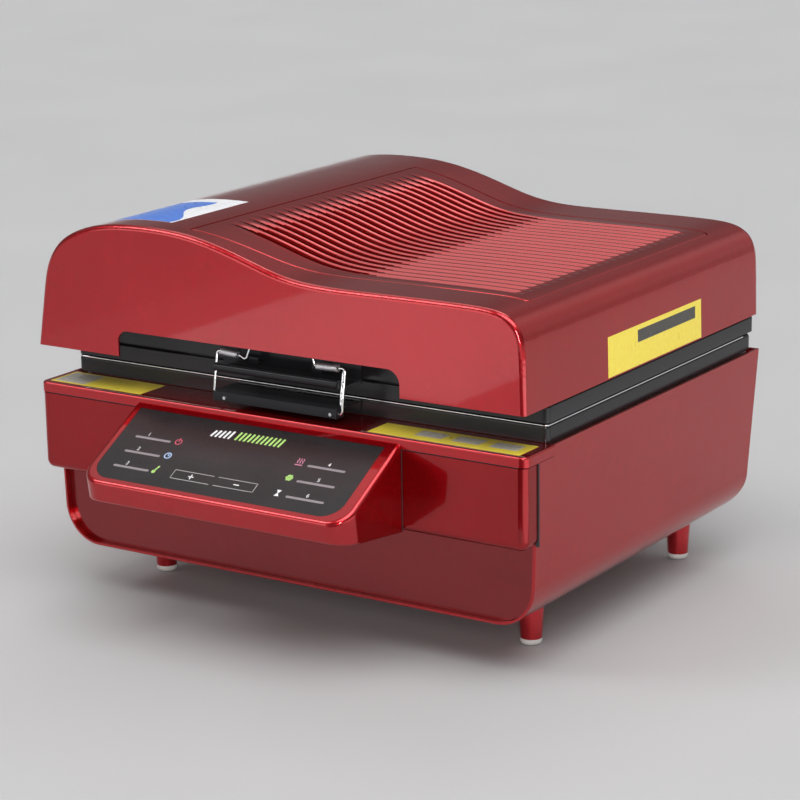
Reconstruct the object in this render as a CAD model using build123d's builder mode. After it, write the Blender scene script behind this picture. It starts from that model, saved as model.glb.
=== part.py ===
from build123d import *
import math
import os

os.makedirs("parts", exist_ok=True)

# ----------------------------------------------------------------------------
# Driving dimensions, in millimetres.
# Row frame: +Z up, -Y towards the user, +X to the user's right.  The origin is
# on the surface the machine stands on, under the middle of its outer box.
# Depths are first stated from the front face of the lid (0 = lid front,
# increasing to the rear) and moved into the row frame by dy().
# ----------------------------------------------------------------------------
DEPTH_SHIFT = -185.0


def dy(depth):
    return depth + DEPTH_SHIFT


# lower body
base_half_top = 259.0
base_half_low = 253.5
base_low = 45.0
base_top = 203.5
base_front = 22.0
base_rear_top = 441.0
base_rear_low = 425.5
base_corner = 38.0
base_rear_corner = 36.0
sheet = 2.5
edge_round = 1.1

# front box and its cap
cap_half = 260.0
cap_rear = 48.0
cap_low = 194.4
cap_seam = 1.1
box_low = 121.0
box_corner = 8.0
box_edge = 7.0
box_seam = 1.1
lower_panel_face = 28.0

# control console
con_x0, con_x1 = -146.0, 138.0
con_profile = [(0.0, 199.0), (-88.0, 149.0), (-85.0, 130.0), (0.0, 120.0)]
con_corner = 21.0
con_wall = 2.5
overlay_x0, overlay_x1 = -137.0, 125.0
overlay_len = 87.4
overlay_thick = 0.9

# feet
foot_x = 203.0
foot_y_front, foot_y_rear = 105.5, 386.5
foot_r_top, foot_r_low = 12.5, 9.8
pad_h = 6.0

# chamber in the lower body
tub_half = 210.0
tub_y0, tub_y1 = 93.0, 393.0
tub_low, tub_top = 128.0, 201.0
seal_top = 203.6

# film frame
frame_half = 253.0
frame_y0, frame_y1 = 48.0, 435.0
frame_z0, frame_z1 = 204.0, 219.5
frame_in_half = 215.0
frame_in_y0, frame_in_y1 = 91.0, 392.0
ledge_z = 210.5
film_thick = 1.5

# heater rim and box (in the lid)
rim_y0, rim_y1 = 48.0, 441.0
rim_z0, rim_z1 = 220.5, 235.0
rim_in_half = 212.0
rim_in_y0, rim_in_y1 = 91.0, 396.0
hbox_half = 244.0
hbox_y0, hbox_y1 = 52.0, 434.0
hbox_z1 = 290.0
hbox_wall = 1.5

# lid shell
lid_low = 238.6
lid_rear = 440.0
lid_wall = 2.2
cut_x0, cut_x1, cut_top = -165.0, 137.0, 262.5
lid_curve = [
    (-252.5, 283.0), (-248.2, 306.0), (-241.5, 323.0), (-230.0, 337.0),
    (-213.0, 347.5), (-192.0, 354.6), (-165.0, 358.8), (-132.0, 360.0),
    (-104.0, 359.0), (-78.0, 355.8), (-50.0, 349.6), (-24.0, 342.0),
    (0.0, 334.6), (22.0, 329.4), (44.0, 326.7), (72.0, 325.7),
    (112.0, 325.9), (160.0, 326.2), (204.0, 326.0), (226.0, 324.6),
    (240.0, 321.0), (250.0, 313.8), (255.6, 303.0), (257.6, 289.0),
    (258.2, 272.0),
]
lid_left_foot = (-260.0, lid_low)
lid_right_foot = (259.0, lid_low)

# ribbed panel in the top of the lid (plan outline)
vent_left, vent_right = -95.0, 235.0
vent_front = [(-95.0, 20.0), (-45.0, 26.0), (0.0, 32.5), (57.0, 43.5), (110.0, 46.6), (235.0, 48.0)]
vent_rear_left, vent_rear_right = 388.0, 380.0
vent_gap = 0.4
vent_corner = 6.0
rib_count = 24
rib_y0, rib_y1 = 60.0, 365.0
rib_w = 6.4
rib_h = 1.5

# rear hinge
hinge_y, hinge_z = 450.0, 220.0
hinge_x = 170.0
knuckle_r = 7.5
pin_r = 3.0
run_fit = 0.05

# handles and wire latches
grip_half = 66.0
bar_y, bar_z, bar_r = 13.0, 238.3, 3.75
latch_x = 68.5
latch_y, latch_z = 13.5, 212.0
wire_r = 1.2
sleeve_r, sleeve_in_r = 3.75, 2.4


# ----------------------------------------------------------------------------
# Small helpers
# ----------------------------------------------------------------------------
def at_z(z):
    return Plane.XY.offset(z)


def at_y(y):
    # local x = X, local y = Z; a positive extrusion runs towards the front
    return Plane(origin=(0, y, 0), x_dir=(1, 0, 0), z_dir=(0, -1, 0))


def at_x(x):
    # local x = Y, local y = Z; a positive extrusion runs to the right
    return Plane(origin=(x, 0, 0), x_dir=(0, 1, 0), z_dir=(1, 0, 0))


def block(x0, x1, y0, y1, z0, z1, mode=Mode.ADD):
    with Locations(((x0 + x1) / 2, (y0 + y1) / 2, (z0 + z1) / 2)):
        Box(x1 - x0, y1 - y0, z1 - z0, mode=mode)


def rod_x(x0, x1, y, z, r, mode=Mode.ADD):
    with Locations(Location(((x0 + x1) / 2, y, z), (0, 90, 0))):
        Cylinder(r, x1 - x0, mode=mode)


def rod_z(x, y, z0, z1, r, mode=Mode.ADD):
    with Locations((x, y, (z0 + z1) / 2)):
        Cylinder(r, z1 - z0, mode=mode)


def save(builder, label):
    builder.part.label = label
    export_step(builder.part, "parts/" + label + ".step")


def inset(points, d):
    # points of an open profile that runs left to right over the top, moved
    # towards the inside by d along the local normal
    out = []
    n = len(points)
    for i in range(n):
        a = points[max(i - 1, 0)]
        b = points[min(i + 1, n - 1)]
        tx, tz = b[0] - a[0], b[1] - a[1]
        m = math.hypot(tx, tz)
        out.append((points[i][0] + d * tz / m, points[i][1] - d * tx / m))
    return out


def lid_profile(d, low):
    # closed outline of the lid's section, inset by d, cut off at height low
    pts = inset([lid_left_foot] + lid_curve + [lid_right_foot], d)
    left, curve, right = pts[0], pts[1:-1], pts[-1]
    tl = (curve[0][0] - left[0], curve[0][1] - left[1])
    tr = (right[0] - curve[-1][0], right[1] - curve[-1][1])
    kl = (low - left[1]) / tl[1]
    kr = (low - right[1]) / tr[1]
    foot_l = (left[0] + tl[0] * kl, low)
    foot_r = (right[0] + tr[0] * kr, low)
    return foot_l, curve, foot_r, tl, tr


# plane of the sloping rear wall of the lower body (local x = -X, local y = up)
_slope = math.hypot(base_rear_top - base_rear_low, base_top - base_low)
rear_n = (0.0, (base_top - base_low) / _slope, -(base_rear_top - base_rear_low) / _slope)
rear_mid_z = 122.0
rear_mid_y = base_rear_top - (base_top - rear_mid_z) * (base_rear_top - base_rear_low) / (base_top - base_low)
REAR = Plane(origin=(0, dy(rear_mid_y), rear_mid_z), x_dir=(-1, 0, 0), z_dir=rear_n)
fan_u, fan_v = 118.0, 0.0
plate_u, plate_v = -112.0, 2.0

# plane of the sloping face of the console
_cs = math.hypot(88.0, 50.0)
con_n = (0.0, -50.0 / _cs, 88.0 / _cs)
CONSOLE = Plane(origin=((overlay_x0 + overlay_x1) / 2, dy(-44.0), 174.0), x_dir=(1, 0, 0), z_dir=con_n)

# ----------------------------------------------------------------------------
# Lower body: outer shell
# ----------------------------------------------------------------------------
with BuildPart() as tub_outer:
    with BuildSketch(at_y(dy(base_front))):
        with BuildLine():
            FilletPolyline(
                (-base_half_top, base_top), (-base_half_low, base_low),
                (base_half_low, base_low), (base_half_top, base_top), radius=base_corner)
            Line((base_half_top, base_top), (-base_half_top, base_top))
        make_face()
    extrude(amount=-(base_rear_top - base_front))
    with BuildSketch(at_x(-300)):
        with BuildLine():
            FilletPolyline(
                (dy(0), base_low), (dy(base_rear_low), base_low), (dy(base_rear_top), base_top),
                radius=base_rear_corner)
            Line((dy(base_rear_top), base_top), (dy(0), base_top))
            Line((dy(0), base_top), (dy(0), base_low))
        make_face()
    extrude(amount=600, mode=Mode.INTERSECT)
    fillet(tub_outer.edges().group_by(Axis.Y)[0].filter_by(lambda e: e.center().Z < base_top - 2), radius=edge_round)

with BuildPart() as tub_inner:
    _hi = 20.0
    _k = _hi / (base_top - base_low)
    _xt = base_half_top - sheet + (base_half_top - base_half_low) * _k
    _yt = base_rear_top - sheet + (base_rear_top - base_rear_low) * _k
    with BuildSketch(at_y(dy(base_front - 10))):
        with BuildLine():
            FilletPolyline(
                (-_xt, base_top + _hi), (-base_half_low + sheet, base_low + sheet),
                (base_half_low - sheet, base_low + sheet), (_xt, base_top + _hi), radius=base_corner - sheet)
            Line((_xt, base_top + _hi), (-_xt, base_top + _hi))
        make_face()
    extrude(amount=-(base_rear_top - base_front + 30))
    with BuildSketch(at_x(-300)):
        with BuildLine():
            FilletPolyline(
                (dy(0), base_low + sheet), (dy(base_rear_low - sheet), base_low + sheet),
                (dy(_yt), base_top + _hi), radius=base_rear_corner - sheet)
            Line((dy(_yt), base_top + _hi), (dy(0), base_top + _hi))
            Line((dy(0), base_top + _hi), (dy(0), base_low + sheet))
        make_face()
    extrude(amount=600, mode=Mode.INTERSECT)

with BuildPart() as base_shell:
    add(tub_outer.part)
    add(tub_inner.part, mode=Mode.SUBTRACT)
    # step for the cap of the front box
    block(-300, 300, dy(0), dy(cap_rear + 0.4), cap_low - cap_seam, 230, mode=Mode.SUBTRACT)
    # service window in the floor
    with BuildSketch(at_z(base_low - 5)):
        with Locations((0, dy(235))):
            RectangleRounded(300, 190, 12)
    extrude(amount=12, mode=Mode.SUBTRACT)
    # rear: fan opening and window behind the connection plate
    with BuildSketch(REAR.offset(-14)):
        with Locations((fan_u, fan_v)):
            Circle(37.0)
        with Locations((plate_u, plate_v)):
            RectangleRounded(112, 52, 5)
    extrude(amount=28, mode=Mode.SUBTRACT)
save(base_shell, "base_shell")

# floor cover with air slots
with BuildPart() as bottom_cover:
    with BuildSketch(at_z(base_low + sheet)):
        with Locations((0, dy(235))):
            RectangleRounded(324, 214, 14)
    extrude(amount=1.5)
    with BuildSketch(at_z(base_low + sheet - 1)):
        with Locations((-70, dy(235)), (70, dy(235))):
            with GridLocations(0, 16, 1, 8):
                SlotOverall(96, 5)
    extrude(amount=4, mode=Mode.SUBTRACT)
save(bottom_cover, "bottom_cover")

# lower front panel, set back inside the front edge of the shell
with BuildPart() as lower_front_panel:
    with BuildSketch(at_y(dy(lower_panel_face))):
        with BuildLine():
            _z1 = 192.0
            _kx = (base_half_top - base_half_low) / (base_top - base_low)
            _xl = base_half_low - sheet - 0.3
            _xu = _xl + _kx * (_z1 - base_low - sheet - 0.3)
            FilletPolyline(
                (-_xu, _z1), (-_xl, base_low + sheet + 0.3), (_xl, base_low + sheet + 0.3), (_xu, _z1),
                radius=base_corner - sheet - 0.3)
            Line((_xu, _z1), (-_xu, _z1))
        make_face()
    extrude(amount=-2.0)
    # cable opening behind the console
    block(-90, 90, dy(20), dy(40), 140, 180, mode=Mode.SUBTRACT)
save(lower_front_panel, "lower_front_panel")

# hollow of the front box, open at the rear and at the top
with BuildPart() as box_hollow:
    with BuildSketch(at_y(dy(2.5))):
        with BuildLine():
            FilletPolyline(
                (-base_half_top + 2.5, cap_low + 5), (-base_half_top + 2.5, box_low + 2.5),
                (base_half_top - 2.5, box_low + 2.5), (base_half_top - 2.5, cap_low + 5),
                radius=box_corner - 2.5)
            Line((base_half_top - 2.5, cap_low + 5), (-base_half_top + 2.5, cap_low + 5))
        make_face()
    extrude(amount=-40)
    fillet(box_hollow.edges().group_by(Axis.Y)[0].filter_by(lambda e: e.center().Z < cap_low + 4), radius=box_edge - 2.6)

# front box below the cap
with BuildPart() as front_box:
    with BuildSketch(at_y(dy(0))):
        with BuildLine():
            FilletPolyline(
                (-base_half_top, cap_low - cap_seam), (-base_half_top, box_low), (base_half_top, box_low),
                (base_half_top, cap_low - cap_seam), radius=box_corner)
            Line((base_half_top, cap_low - cap_seam), (-base_half_top, cap_low - cap_seam))
        make_face()
    extrude(amount=-(base_front - box_seam))
    _front = front_box.edges().group_by(Axis.Y)[0].filter_by(lambda e: e.center().Z < cap_low - 2.5)
    fillet(_front, radius=box_edge)
    add(box_hollow.part, mode=Mode.SUBTRACT)
    # cable opening into the console
    block(-80, 80, dy(-2), dy(5), 145, 175, mode=Mode.SUBTRACT)
    # two tabs inside that carry the cap, and two that reach the lower front panel
    for _s in (-1, 1):
        block(*sorted((_s * 225.0, _s * 250.0)), dy(2.5), dy(4.5), 186.0, base_top - 2.0)
        block(*sorted((_s * 225.0, _s * 250.0)), dy(2.5), dy(lower_panel_face), 150.0, 152.0)
save(front_box, "front_box")

# cap (shelf) over the front box
with BuildPart() as shelf_cap:
    with BuildSketch(at_z(cap_low)):
        with Locations((0, dy(cap_rear / 2))):
            Rectangle(2 * cap_half, cap_rear)
    extrude(amount=base_top - cap_low)
    fillet(shelf_cap.edges().filter_by(Axis.Z).group_by(Axis.Y)[0], radius=7.0)
    fillet(shelf_cap.edges().group_by(Axis.Z)[-1].filter_by(lambda e: e.center().Y < dy(cap_rear - 1)), radius=1.8)
    block(-cap_half + 2.5, cap_half - 2.5, dy(2.5), dy(cap_rear - 2.0), cap_low - 1, base_top - 2.0,
          mode=Mode.SUBTRACT)
save(shelf_cap, "shelf_cap")

# ----------------------------------------------------------------------------
# Control console on the front box
# ----------------------------------------------------------------------------
with BuildPart() as con_outer:
    with BuildSketch(at_x(con_x0)):
        with BuildLine():
            Polyline(*[(dy(p[0]), p[1]) for p in con_profile], close=True)
        make_face()
    extrude(amount=con_x1 - con_x0)
    _v = con_outer.edges().filter_by(lambda e: abs(e.center().Y - dy(-86.5)) < 1.0 and e.length < 40)
    fillet(_v, radius=con_corner)
    _rim = con_outer.faces().sort_by(Axis.Z)[-1].edges().filter_by(lambda e: e.center().Y < dy(-1))
    fillet(_rim, radius=4.5)
    _lowf = con_outer.faces().sort_by(Axis.Z)[0].edges().filter_by(lambda e: e.center().Y < dy(-1))
    fillet(_lowf, radius=2.5)

with BuildPart() as con_inner:
    with BuildSketch(at_x(con_x0 + con_wall)):
        with BuildLine():
            Polyline((dy(3), 199.0 - 3.0 + 1.7), (dy(-85.2), 147.6), (dy(-82.6), 132.2), (dy(3), 122.2), close=True)
        make_face()
    extrude(amount=con_x1 - con_x0 - 2 * con_wall)
    _v = con_inner.edges().filter_by(lambda e: e.center().Y < dy(-80) and e.length < 40)
    fillet(_v, radius=con_corner - con_wall)

with BuildPart() as control_console:
    add(con_outer.part)
    add(con_inner.part, mode=Mode.SUBTRACT)
    with BuildSketch(CONSOLE.offset(-1.0)):
        _hw = (overlay_x1 - overlay_x0) / 2 + 0.2
        _hl = overlay_len / 2 + 0.2
        with BuildLine():
            FilletPolyline((-_hw, _hl), (-_hw, -_hl), (_hw, -_hl), (_hw, _hl), radius=19.0)
            Line((_hw, _hl), (-_hw, _hl))
        make_face()
    extrude(amount=6.0, mode=Mode.SUBTRACT)
save(control_console, "control_console")

with BuildPart() as control_overlay:
    with BuildSketch(CONSOLE.offset(-1.0)):
        _hw = (overlay_x1 - overlay_x0) / 2
        _hl = overlay_len / 2
        with BuildLine():
            FilletPolyline((-_hw, _hl), (-_hw, -_hl), (_hw, -_hl), (_hw, _hl), radius=18.8)
            Line((_hw, _hl), (-_hw, _hl))
        make_face()
    extrude(amount=overlay_thick)
save(control_overlay, "control_overlay")

# circuit board and numeric display, just under the sloping face
with BuildPart() as control_board:
    with BuildSketch(CONSOLE.offset(-10.0)):
        Rectangle(220, 62)
        with GridLocations(208, 50, 2, 2):
            Circle(1.7, mode=Mode.SUBTRACT)
    extrude(amount=1.6)
    with BuildSketch(CONSOLE.offset(-13.0)):
        with Locations((-60, 10), (10, -12), (70, 8)):
            Rectangle(18, 12)
    extrude(amount=3.01)
save(control_board, "control_board")

with BuildPart() as display_module:
    with BuildSketch(CONSOLE.offset(-8.35)):
        with Locations((0, 2)):
            Rectangle(64, 24)
    extrude(amount=4.6)
    with BuildSketch(CONSOLE.offset(-3.75)):
        with Locations((-20, 2), (0, 2), (20, 2)):
            Rectangle(14, 19)
    extrude(amount=0.3)
save(display_module, "display_module")

# ----------------------------------------------------------------------------
# Feet
# ----------------------------------------------------------------------------
foot_spots = [(-foot_x, dy(foot_y_front)), (foot_x, dy(foot_y_front)),
              (-foot_x, dy(foot_y_rear)), (foot_x, dy(foot_y_rear))]
with BuildPart() as feet:
    with Locations(*[(p[0], p[1], (pad_h + base_low) / 2) for p in foot_spots]):
        Cone(foot_r_low, foot_r_top, base_low - pad_h)
save(feet, "feet")

with BuildPart() as foot_pads:
    with Locations(*[(p[0], p[1], pad_h / 2) for p in foot_spots]):
        Cylinder(foot_r_low, pad_h)
    fillet(foot_pads.edges().group_by(Axis.Z)[0], radius=3.5)
save(foot_pads, "foot_pads")

# ----------------------------------------------------------------------------
# Vacuum chamber in the lower body
# ----------------------------------------------------------------------------
with BuildPart() as chamber_tub:
    with BuildSketch(at_z(tub_top - 2)):
        with Locations((0, dy(243.5))):
            RectangleRounded(500, 384, 6)
    extrude(amount=2)
    with BuildSketch(at_z(tub_low)):
        with Locations((0, dy((tub_y0 + tub_y1) / 2))):
            RectangleRounded(2 * tub_half + 4, tub_y1 - tub_y0 + 4, 22)
    extrude(amount=tub_top - tub_low)
    with BuildSketch(at_z(tub_low + 2)):
        with Locations((0, dy((tub_y0 + tub_y1) / 2))):
            RectangleRounded(2 * tub_half, tub_y1 - tub_y0, 20)
    extrude(amount=tub_top - tub_low, mode=Mode.SUBTRACT)
    rod_z(150, dy(240), tub_low - 1, tub_low + 4, 5.0, mode=Mode.SUBTRACT)
save(chamber_tub, "chamber_tub")

# perforated platform the blanks stand on, on its own short legs
with BuildPart() as work_platform:
    with BuildSketch(at_z(150)):
        with Locations((0, dy(243))):
            RectangleRounded(412, 292, 16)
            with GridLocations(30, 30, 13, 9):
                Circle(3.0, mode=Mode.SUBTRACT)
    extrude(amount=2.5)
    with BuildSketch(at_z(tub_low + 2)):
        with Locations((0, dy(243))):
            with GridLocations(330, 210, 2, 2):
                Circle(6)
    extrude(amount=150 - tub_low - 2)
save(work_platform, "work_platform")

with BuildPart() as chamber_seal:
    with BuildSketch(at_z(tub_top)):
        with Locations((0, dy(243.5))):
            RectangleRounded(494, 378, 6)
        with Locations((0, dy(243))):
            RectangleRounded(430, 310, 24, mode=Mode.SUBTRACT)
    extrude(amount=seal_top - tub_top)
    fillet(chamber_seal.edges().group_by(Axis.Z)[-1], radius=0.8)
save(chamber_seal, "chamber_seal")

# carrier rails under the tub's flange
with BuildPart() as tub_rails:
    for _s in (-1, 1):
        _xa, _xb = sorted((_s * 226.0, _s * 250.0))
        block(_xa, _xb, dy(54), dy(430), 196.5, 199)
        _xa, _xb = sorted((_s * 247.5, _s * 250.0))
        block(_xa, _xb, dy(54), dy(430), 170, 196.5)
save(tub_rails, "tub_rails")

# pump, valve and hose under the tub
port_x, port_y = 150.0, dy(240)
with BuildPart() as vacuum_port:
    rod_z(port_x, port_y, 124, 128, 12)
    rod_z(port_x, port_y, 113, 124, 5.5)
    rod_z(port_x, port_y, 128, 132, 4.9)
    rod_z(port_x, port_y, 100, 140, 2.5, mode=Mode.SUBTRACT)
save(vacuum_port, "vacuum_port")

with BuildPart() as pump_motor:
    rod_x(-140, -62, dy(240), 88, 27)
    rod_x(-62, -40, dy(240), 88, 8)
    rod_x(-146, -140, dy(240), 88, 10)
save(pump_motor, "pump_motor")

with BuildPart() as pump_head:
    block(-58, 2, dy(208), dy(272), 58, 118)
    rod_x(-60, -40, dy(240), 88, 8.3, mode=Mode.SUBTRACT)
    block(-50, -6, dy(213), dy(267), 118, 123)
    rod_x(2, 18, dy(240), 88, 5.0)
    rod_x(0, 30, dy(240), 88, 2.2, mode=Mode.SUBTRACT)
    fillet(pump_head.edges().filter_by(Axis.X).filter_by(lambda e: e.length > 50), radius=4)
save(pump_head, "pump_head")

with BuildPart() as pump_cradle:
    block(-130, -6, dy(206), dy(274), 49.0, 51.5)
    for _x in (-120, -80):
        with BuildSketch(at_x(_x)):
            with BuildLine():
                Polyline((dy(212), 51.5), (dy(268), 51.5), (dy(268), 70), (dy(212), 70), close=True)
            make_face()
            with Locations((dy(240), 88)):
                Circle(27.15, mode=Mode.SUBTRACT)
        extrude(amount=3)
    block(-56, -2, dy(210), dy(270), 51.5, 57.9)
save(pump_cradle, "pump_cradle")

with BuildPart() as release_valve:
    block(66, 98, dy(228), dy(252), 76, 100)
    rod_z(82, dy(240), 100, 118, 9)
    rod_x(54, 66, dy(240), 88, 5.0)
    rod_x(98, 110, dy(240), 88, 5.0)
    rod_x(50, 120, dy(240), 88, 2.2, mode=Mode.SUBTRACT)
save(release_valve, "release_valve")

# hose in two lengths: pump to valve, valve to port
with BuildPart() as vacuum_hose:
    rod_x(4, 64, dy(240), 88, 7.5)
    rod_x(0, 70, dy(240), 88, 5.05, mode=Mode.SUBTRACT)
with BuildPart() as hose_elbow:
    with BuildLine() as _path:
        FilletPolyline((100, port_y, 88), (port_x, port_y, 88), (port_x, port_y, 122), radius=24)
    with BuildSketch(Plane(origin=_path.line @ 0, z_dir=_path.line % 0)):
        Circle(7.5)
        Circle(5.55, mode=Mode.SUBTRACT)
    sweep(path=_path.line)
with BuildPart() as hoses:
    add(vacuum_hose.part)
    add(hose_elbow.part)
save(hoses, "vacuum_hose")

# mains board with its relay and terminals
with BuildPart() as power_board:
    block(-200, -70, dy(300), dy(380), 60, 61.6)
    block(-190, -160, dy(310), dy(330), 61.6, 82)
    block(-150, -110, dy(340), dy(370), 61.6, 88)
    block(-100, -80, dy(312), dy(360), 61.6, 74)
    for _p in ((-194, 306), (-76, 306), (-194, 374), (-76, 374)):
        rod_z(_p[0], dy(_p[1]), 49, 60, 3.2)
save(power_board, "power_board")

# ----------------------------------------------------------------------------
# Rear: cooling fan, connection plate, inlet, fuse and switch
# ----------------------------------------------------------------------------
with BuildPart() as fan_frame:
    with BuildSketch(REAR.offset(-28.4)):
        with Locations((fan_u, fan_v)):
            RectangleRounded(80, 80, 5)
            Circle(37.5, mode=Mode.SUBTRACT)
            with GridLocations(71.5, 71.5, 2, 2):
                Circle(2.1, mode=Mode.SUBTRACT)
    extrude(amount=25)
    # motor boss on three struts at the inner side
    with BuildSketch(REAR.offset(-28.4)):
        with Locations((fan_u, fan_v)):
            Circle(13)
            with PolarLocations(25, 3):
                Rectangle(28, 4)
    extrude(amount=2.5)
    # spindle
    with BuildSketch(REAR.offset(-26.0)):
        with Locations((fan_u, fan_v)):
            Circle(2.0)
    extrude(amount=16)
save(fan_frame, "fan_frame")

with BuildPart() as fan_impeller:
    with BuildSketch(REAR.offset(-25.4)):
        with Locations((fan_u, fan_v)):
            Circle(13.5)
    extrude(amount=20)
    for _i in range(7):
        _a = 360.0 / 7 * _i
        with Locations(REAR.location * Location((fan_u, fan_v, -15.4)) * Location((0, 0, 0), (0, 0, _a))
                       * Location((24.0, 0, 0), (38, 0, 0))):
            Box(22, 1.8, 17)
    with BuildSketch(REAR.offset(-25.9)):
        with Locations((fan_u, fan_v)):
            Circle(2.0 + run_fit)
    extrude(amount=16.2, mode=Mode.SUBTRACT)
save(fan_impeller, "fan_impeller")

with BuildPart() as fan_grille:
    with BuildSketch(REAR.offset(0.0)):
        with Locations((fan_u, fan_v)):
            for _r in (6.0, 14.5, 23.0, 31.5, 39.0):
                Circle(_r + 1.0)
                Circle(_r - 1.0, mode=Mode.SUBTRACT)
            with PolarLocations(22.5, 4, start_angle=45):
                Rectangle(38, 2.2)
            with PolarLocations(50.5, 4, start_angle=45):
                Circle(4.0)
                Circle(2.1, mode=Mode.SUBTRACT)
            with PolarLocations(43.5, 4, start_angle=45):
                Rectangle(8.4, 3.0)
    extrude(amount=1.8)
save(fan_grille, "fan_grille")

with BuildPart() as rear_plate:
    with BuildSketch(REAR):
        with Locations((plate_u, plate_v)):
            RectangleRounded(136, 72, 6)
    extrude(amount=1.5)
    with BuildSketch(REAR.offset(-1)):
        with Locations((plate_u + 36, plate_v)):
            RectangleRounded(27.4, 20.4, 3)
        with Locations((plate_u + 2, plate_v)):
            Circle(6.1)
        with Locations((plate_u - 34, plate_v)):
            Rectangle(21.4, 28.4)
    extrude(amount=5, mode=Mode.SUBTRACT)
save(rear_plate, "rear_plate")

with BuildPart() as power_inlet:
    with BuildSketch(REAR.offset(-17)):
        with Locations((plate_u + 36, plate_v)):
            RectangleRounded(27, 20, 2.8)
    extrude(amount=18.5)
    with BuildSketch(REAR.offset(1.5)):
        with Locations((plate_u + 36, plate_v)):
            RectangleRounded(46, 24, 4)
    extrude(amount=2.5)
    with BuildSketch(REAR.offset(-13)):
        with Locations((plate_u + 36, plate_v)):
            RectangleRounded(24, 16.6, 3)
    extrude(amount=20, mode=Mode.SUBTRACT)
save(power_inlet, "power_inlet")

with BuildPart() as inlet_pins:
    with BuildSketch(REAR.offset(-13)):
        with Locations((plate_u + 29, plate_v - 2), (plate_u + 43, plate_v - 2), (plate_u + 36, plate_v + 2)):
            Rectangle(2.0, 4.0)
    extrude(amount=12)
save(inlet_pins, "inlet_pins")

with BuildPart() as fuse_holder:
    with BuildSketch(REAR.offset(-22)):
        with Locations((plate_u + 2, plate_v)):
            Circle(6.0)
    extrude(amount=23.5)
    with BuildSketch(REAR.offset(1.5)):
        with Locations((plate_u + 2, plate_v)):
            Circle(8.0)
    extrude(amount=5.0)
    with BuildSketch(REAR.offset(5.5)):
        with Locations((plate_u + 2, plate_v)):
            Rectangle(11, 1.6)
    extrude(amount=3, mode=Mode.SUBTRACT)
save(fuse_holder, "fuse_holder")

# rocker switch: pivot line is parallel to X
sw_u, sw_v = plate_u - 34, plate_v
sw_pivot = -2.0
with BuildPart() as switch_housing:
    with BuildSketch(REAR.offset(-18)):
        with Locations((sw_u, sw_v)):
            Rectangle(21, 28)
    extrude(amount=19.5)
    with BuildSketch(REAR.offset(1.5)):
        with Locations((sw_u, sw_v)):
            RectangleRounded(25, 32, 2)
    extrude(amount=2.0)
    with BuildSketch(REAR.offset(-12)):
        with Locations((sw_u, sw_v)):
            Rectangle(16.4, 24.6)
    extrude(amount=20, mode=Mode.SUBTRACT)
    with BuildSketch(Plane(origin=REAR.from_local_coords((sw_u + 10.0, sw_v, sw_pivot)),
                           x_dir=(0, 1, 0), z_dir=(1, 0, 0))):
        Circle(1.5 + run_fit)
    extrude(amount=20, mode=Mode.SUBTRACT)
save(switch_housing, "switch_housing")

_rock = math.radians(8.0)


def rock(p, q):
    # point at height p above the pivot and q up the plate, tipped to its stop
    pr = p * math.cos(_rock) - q * math.sin(_rock)
    qr = p * math.sin(_rock) + q * math.cos(_rock)
    return REAR.from_local_coords((sw_u, sw_v + qr, sw_pivot + pr))


with BuildPart() as switch_rocker:
    _pts = [(-5.0, -8.0), (5.2, -10.6), (3.4, -0.2), (3.4, 0.2), (5.2, 10.6), (-5.0, 8.0)]
    with BuildSketch(at_x(-sw_u - 7.7)):
        with BuildLine():
            Polyline(*[(rock(p, q).Y, rock(p, q).Z) for p, q in _pts], close=True)
        make_face()
    extrude(amount=15.4)
    _pv = REAR.from_local_coords((sw_u, sw_v, sw_pivot))
    rod_x(-sw_u - 10.0, -sw_u + 10.0, _pv.Y, _pv.Z, 1.5)
save(switch_rocker, "switch_rocker")

# small screws that hold the rear plate and the fan guard
with BuildPart() as rear_screws:
    with BuildSketch(REAR.offset(1.5)):
        with Locations((plate_u, plate_v)):
            with GridLocations(126, 62, 2, 2):
                Circle(2.8)
    extrude(amount=1.6)
    with BuildSketch(REAR.offset(1.8)):
        with Locations((fan_u, fan_v)):
            with PolarLocations(50.5, 4, start_angle=45):
                Circle(3.2)
    extrude(amount=1.6)
save(rear_screws, "rear_screws")

# ----------------------------------------------------------------------------
# Rear hinges
# ----------------------------------------------------------------------------
hx, hy, hz = hinge_x, dy(hinge_y), hinge_z


def rear_wall_y(z):
    return dy(base_rear_top - (base_top - z) * (base_rear_top - base_rear_low) / (base_top - base_low))


with BuildPart() as base_hinges:
    for _c in (-hx, hx):
        with BuildSketch(at_x(_c - 26)):
            with BuildLine():
                Polyline((rear_wall_y(203.5) + 0.02, 203.5), (rear_wall_y(165) + 0.02, 165), (dy(443.5), 165),
                         (dy(445.0), 170), (dy(445.0), 212.5), (rear_wall_y(203.5) + 0.02, 212.5), close=True)
            make_face()
        extrude(amount=52)
        for _a in (_c - 26, _c + 14.4):
            with BuildSketch(at_x(_a)):
                with BuildLine():
                    Polyline((dy(444.9), 190), (dy(450), 200), (hy + knuckle_r, hz - 2), (hy, hz + 2),
                             (hy - knuckle_r, hz - 2), (dy(442.5), 211), close=True)
                make_face()
                with Locations((hy, hz)):
                    Circle(knuckle_r)
            extrude(amount=11.6)
        rod_x(_c - 30, _c + 30, hy, hz, pin_r + 0.02, mode=Mode.SUBTRACT)
save(base_hinges, "base_hinges")

with BuildPart() as hinge_pins:
    for _c in (-hx, hx):
        rod_x(_c - 27, _c + 27, hy, hz, pin_r)
        rod_x(_c - 29, _c - 27, hy, hz, 4.6)
        rod_x(_c + 27, _c + 29, hy, hz, 4.6)
save(hinge_pins, "hinge_pins")

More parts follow.
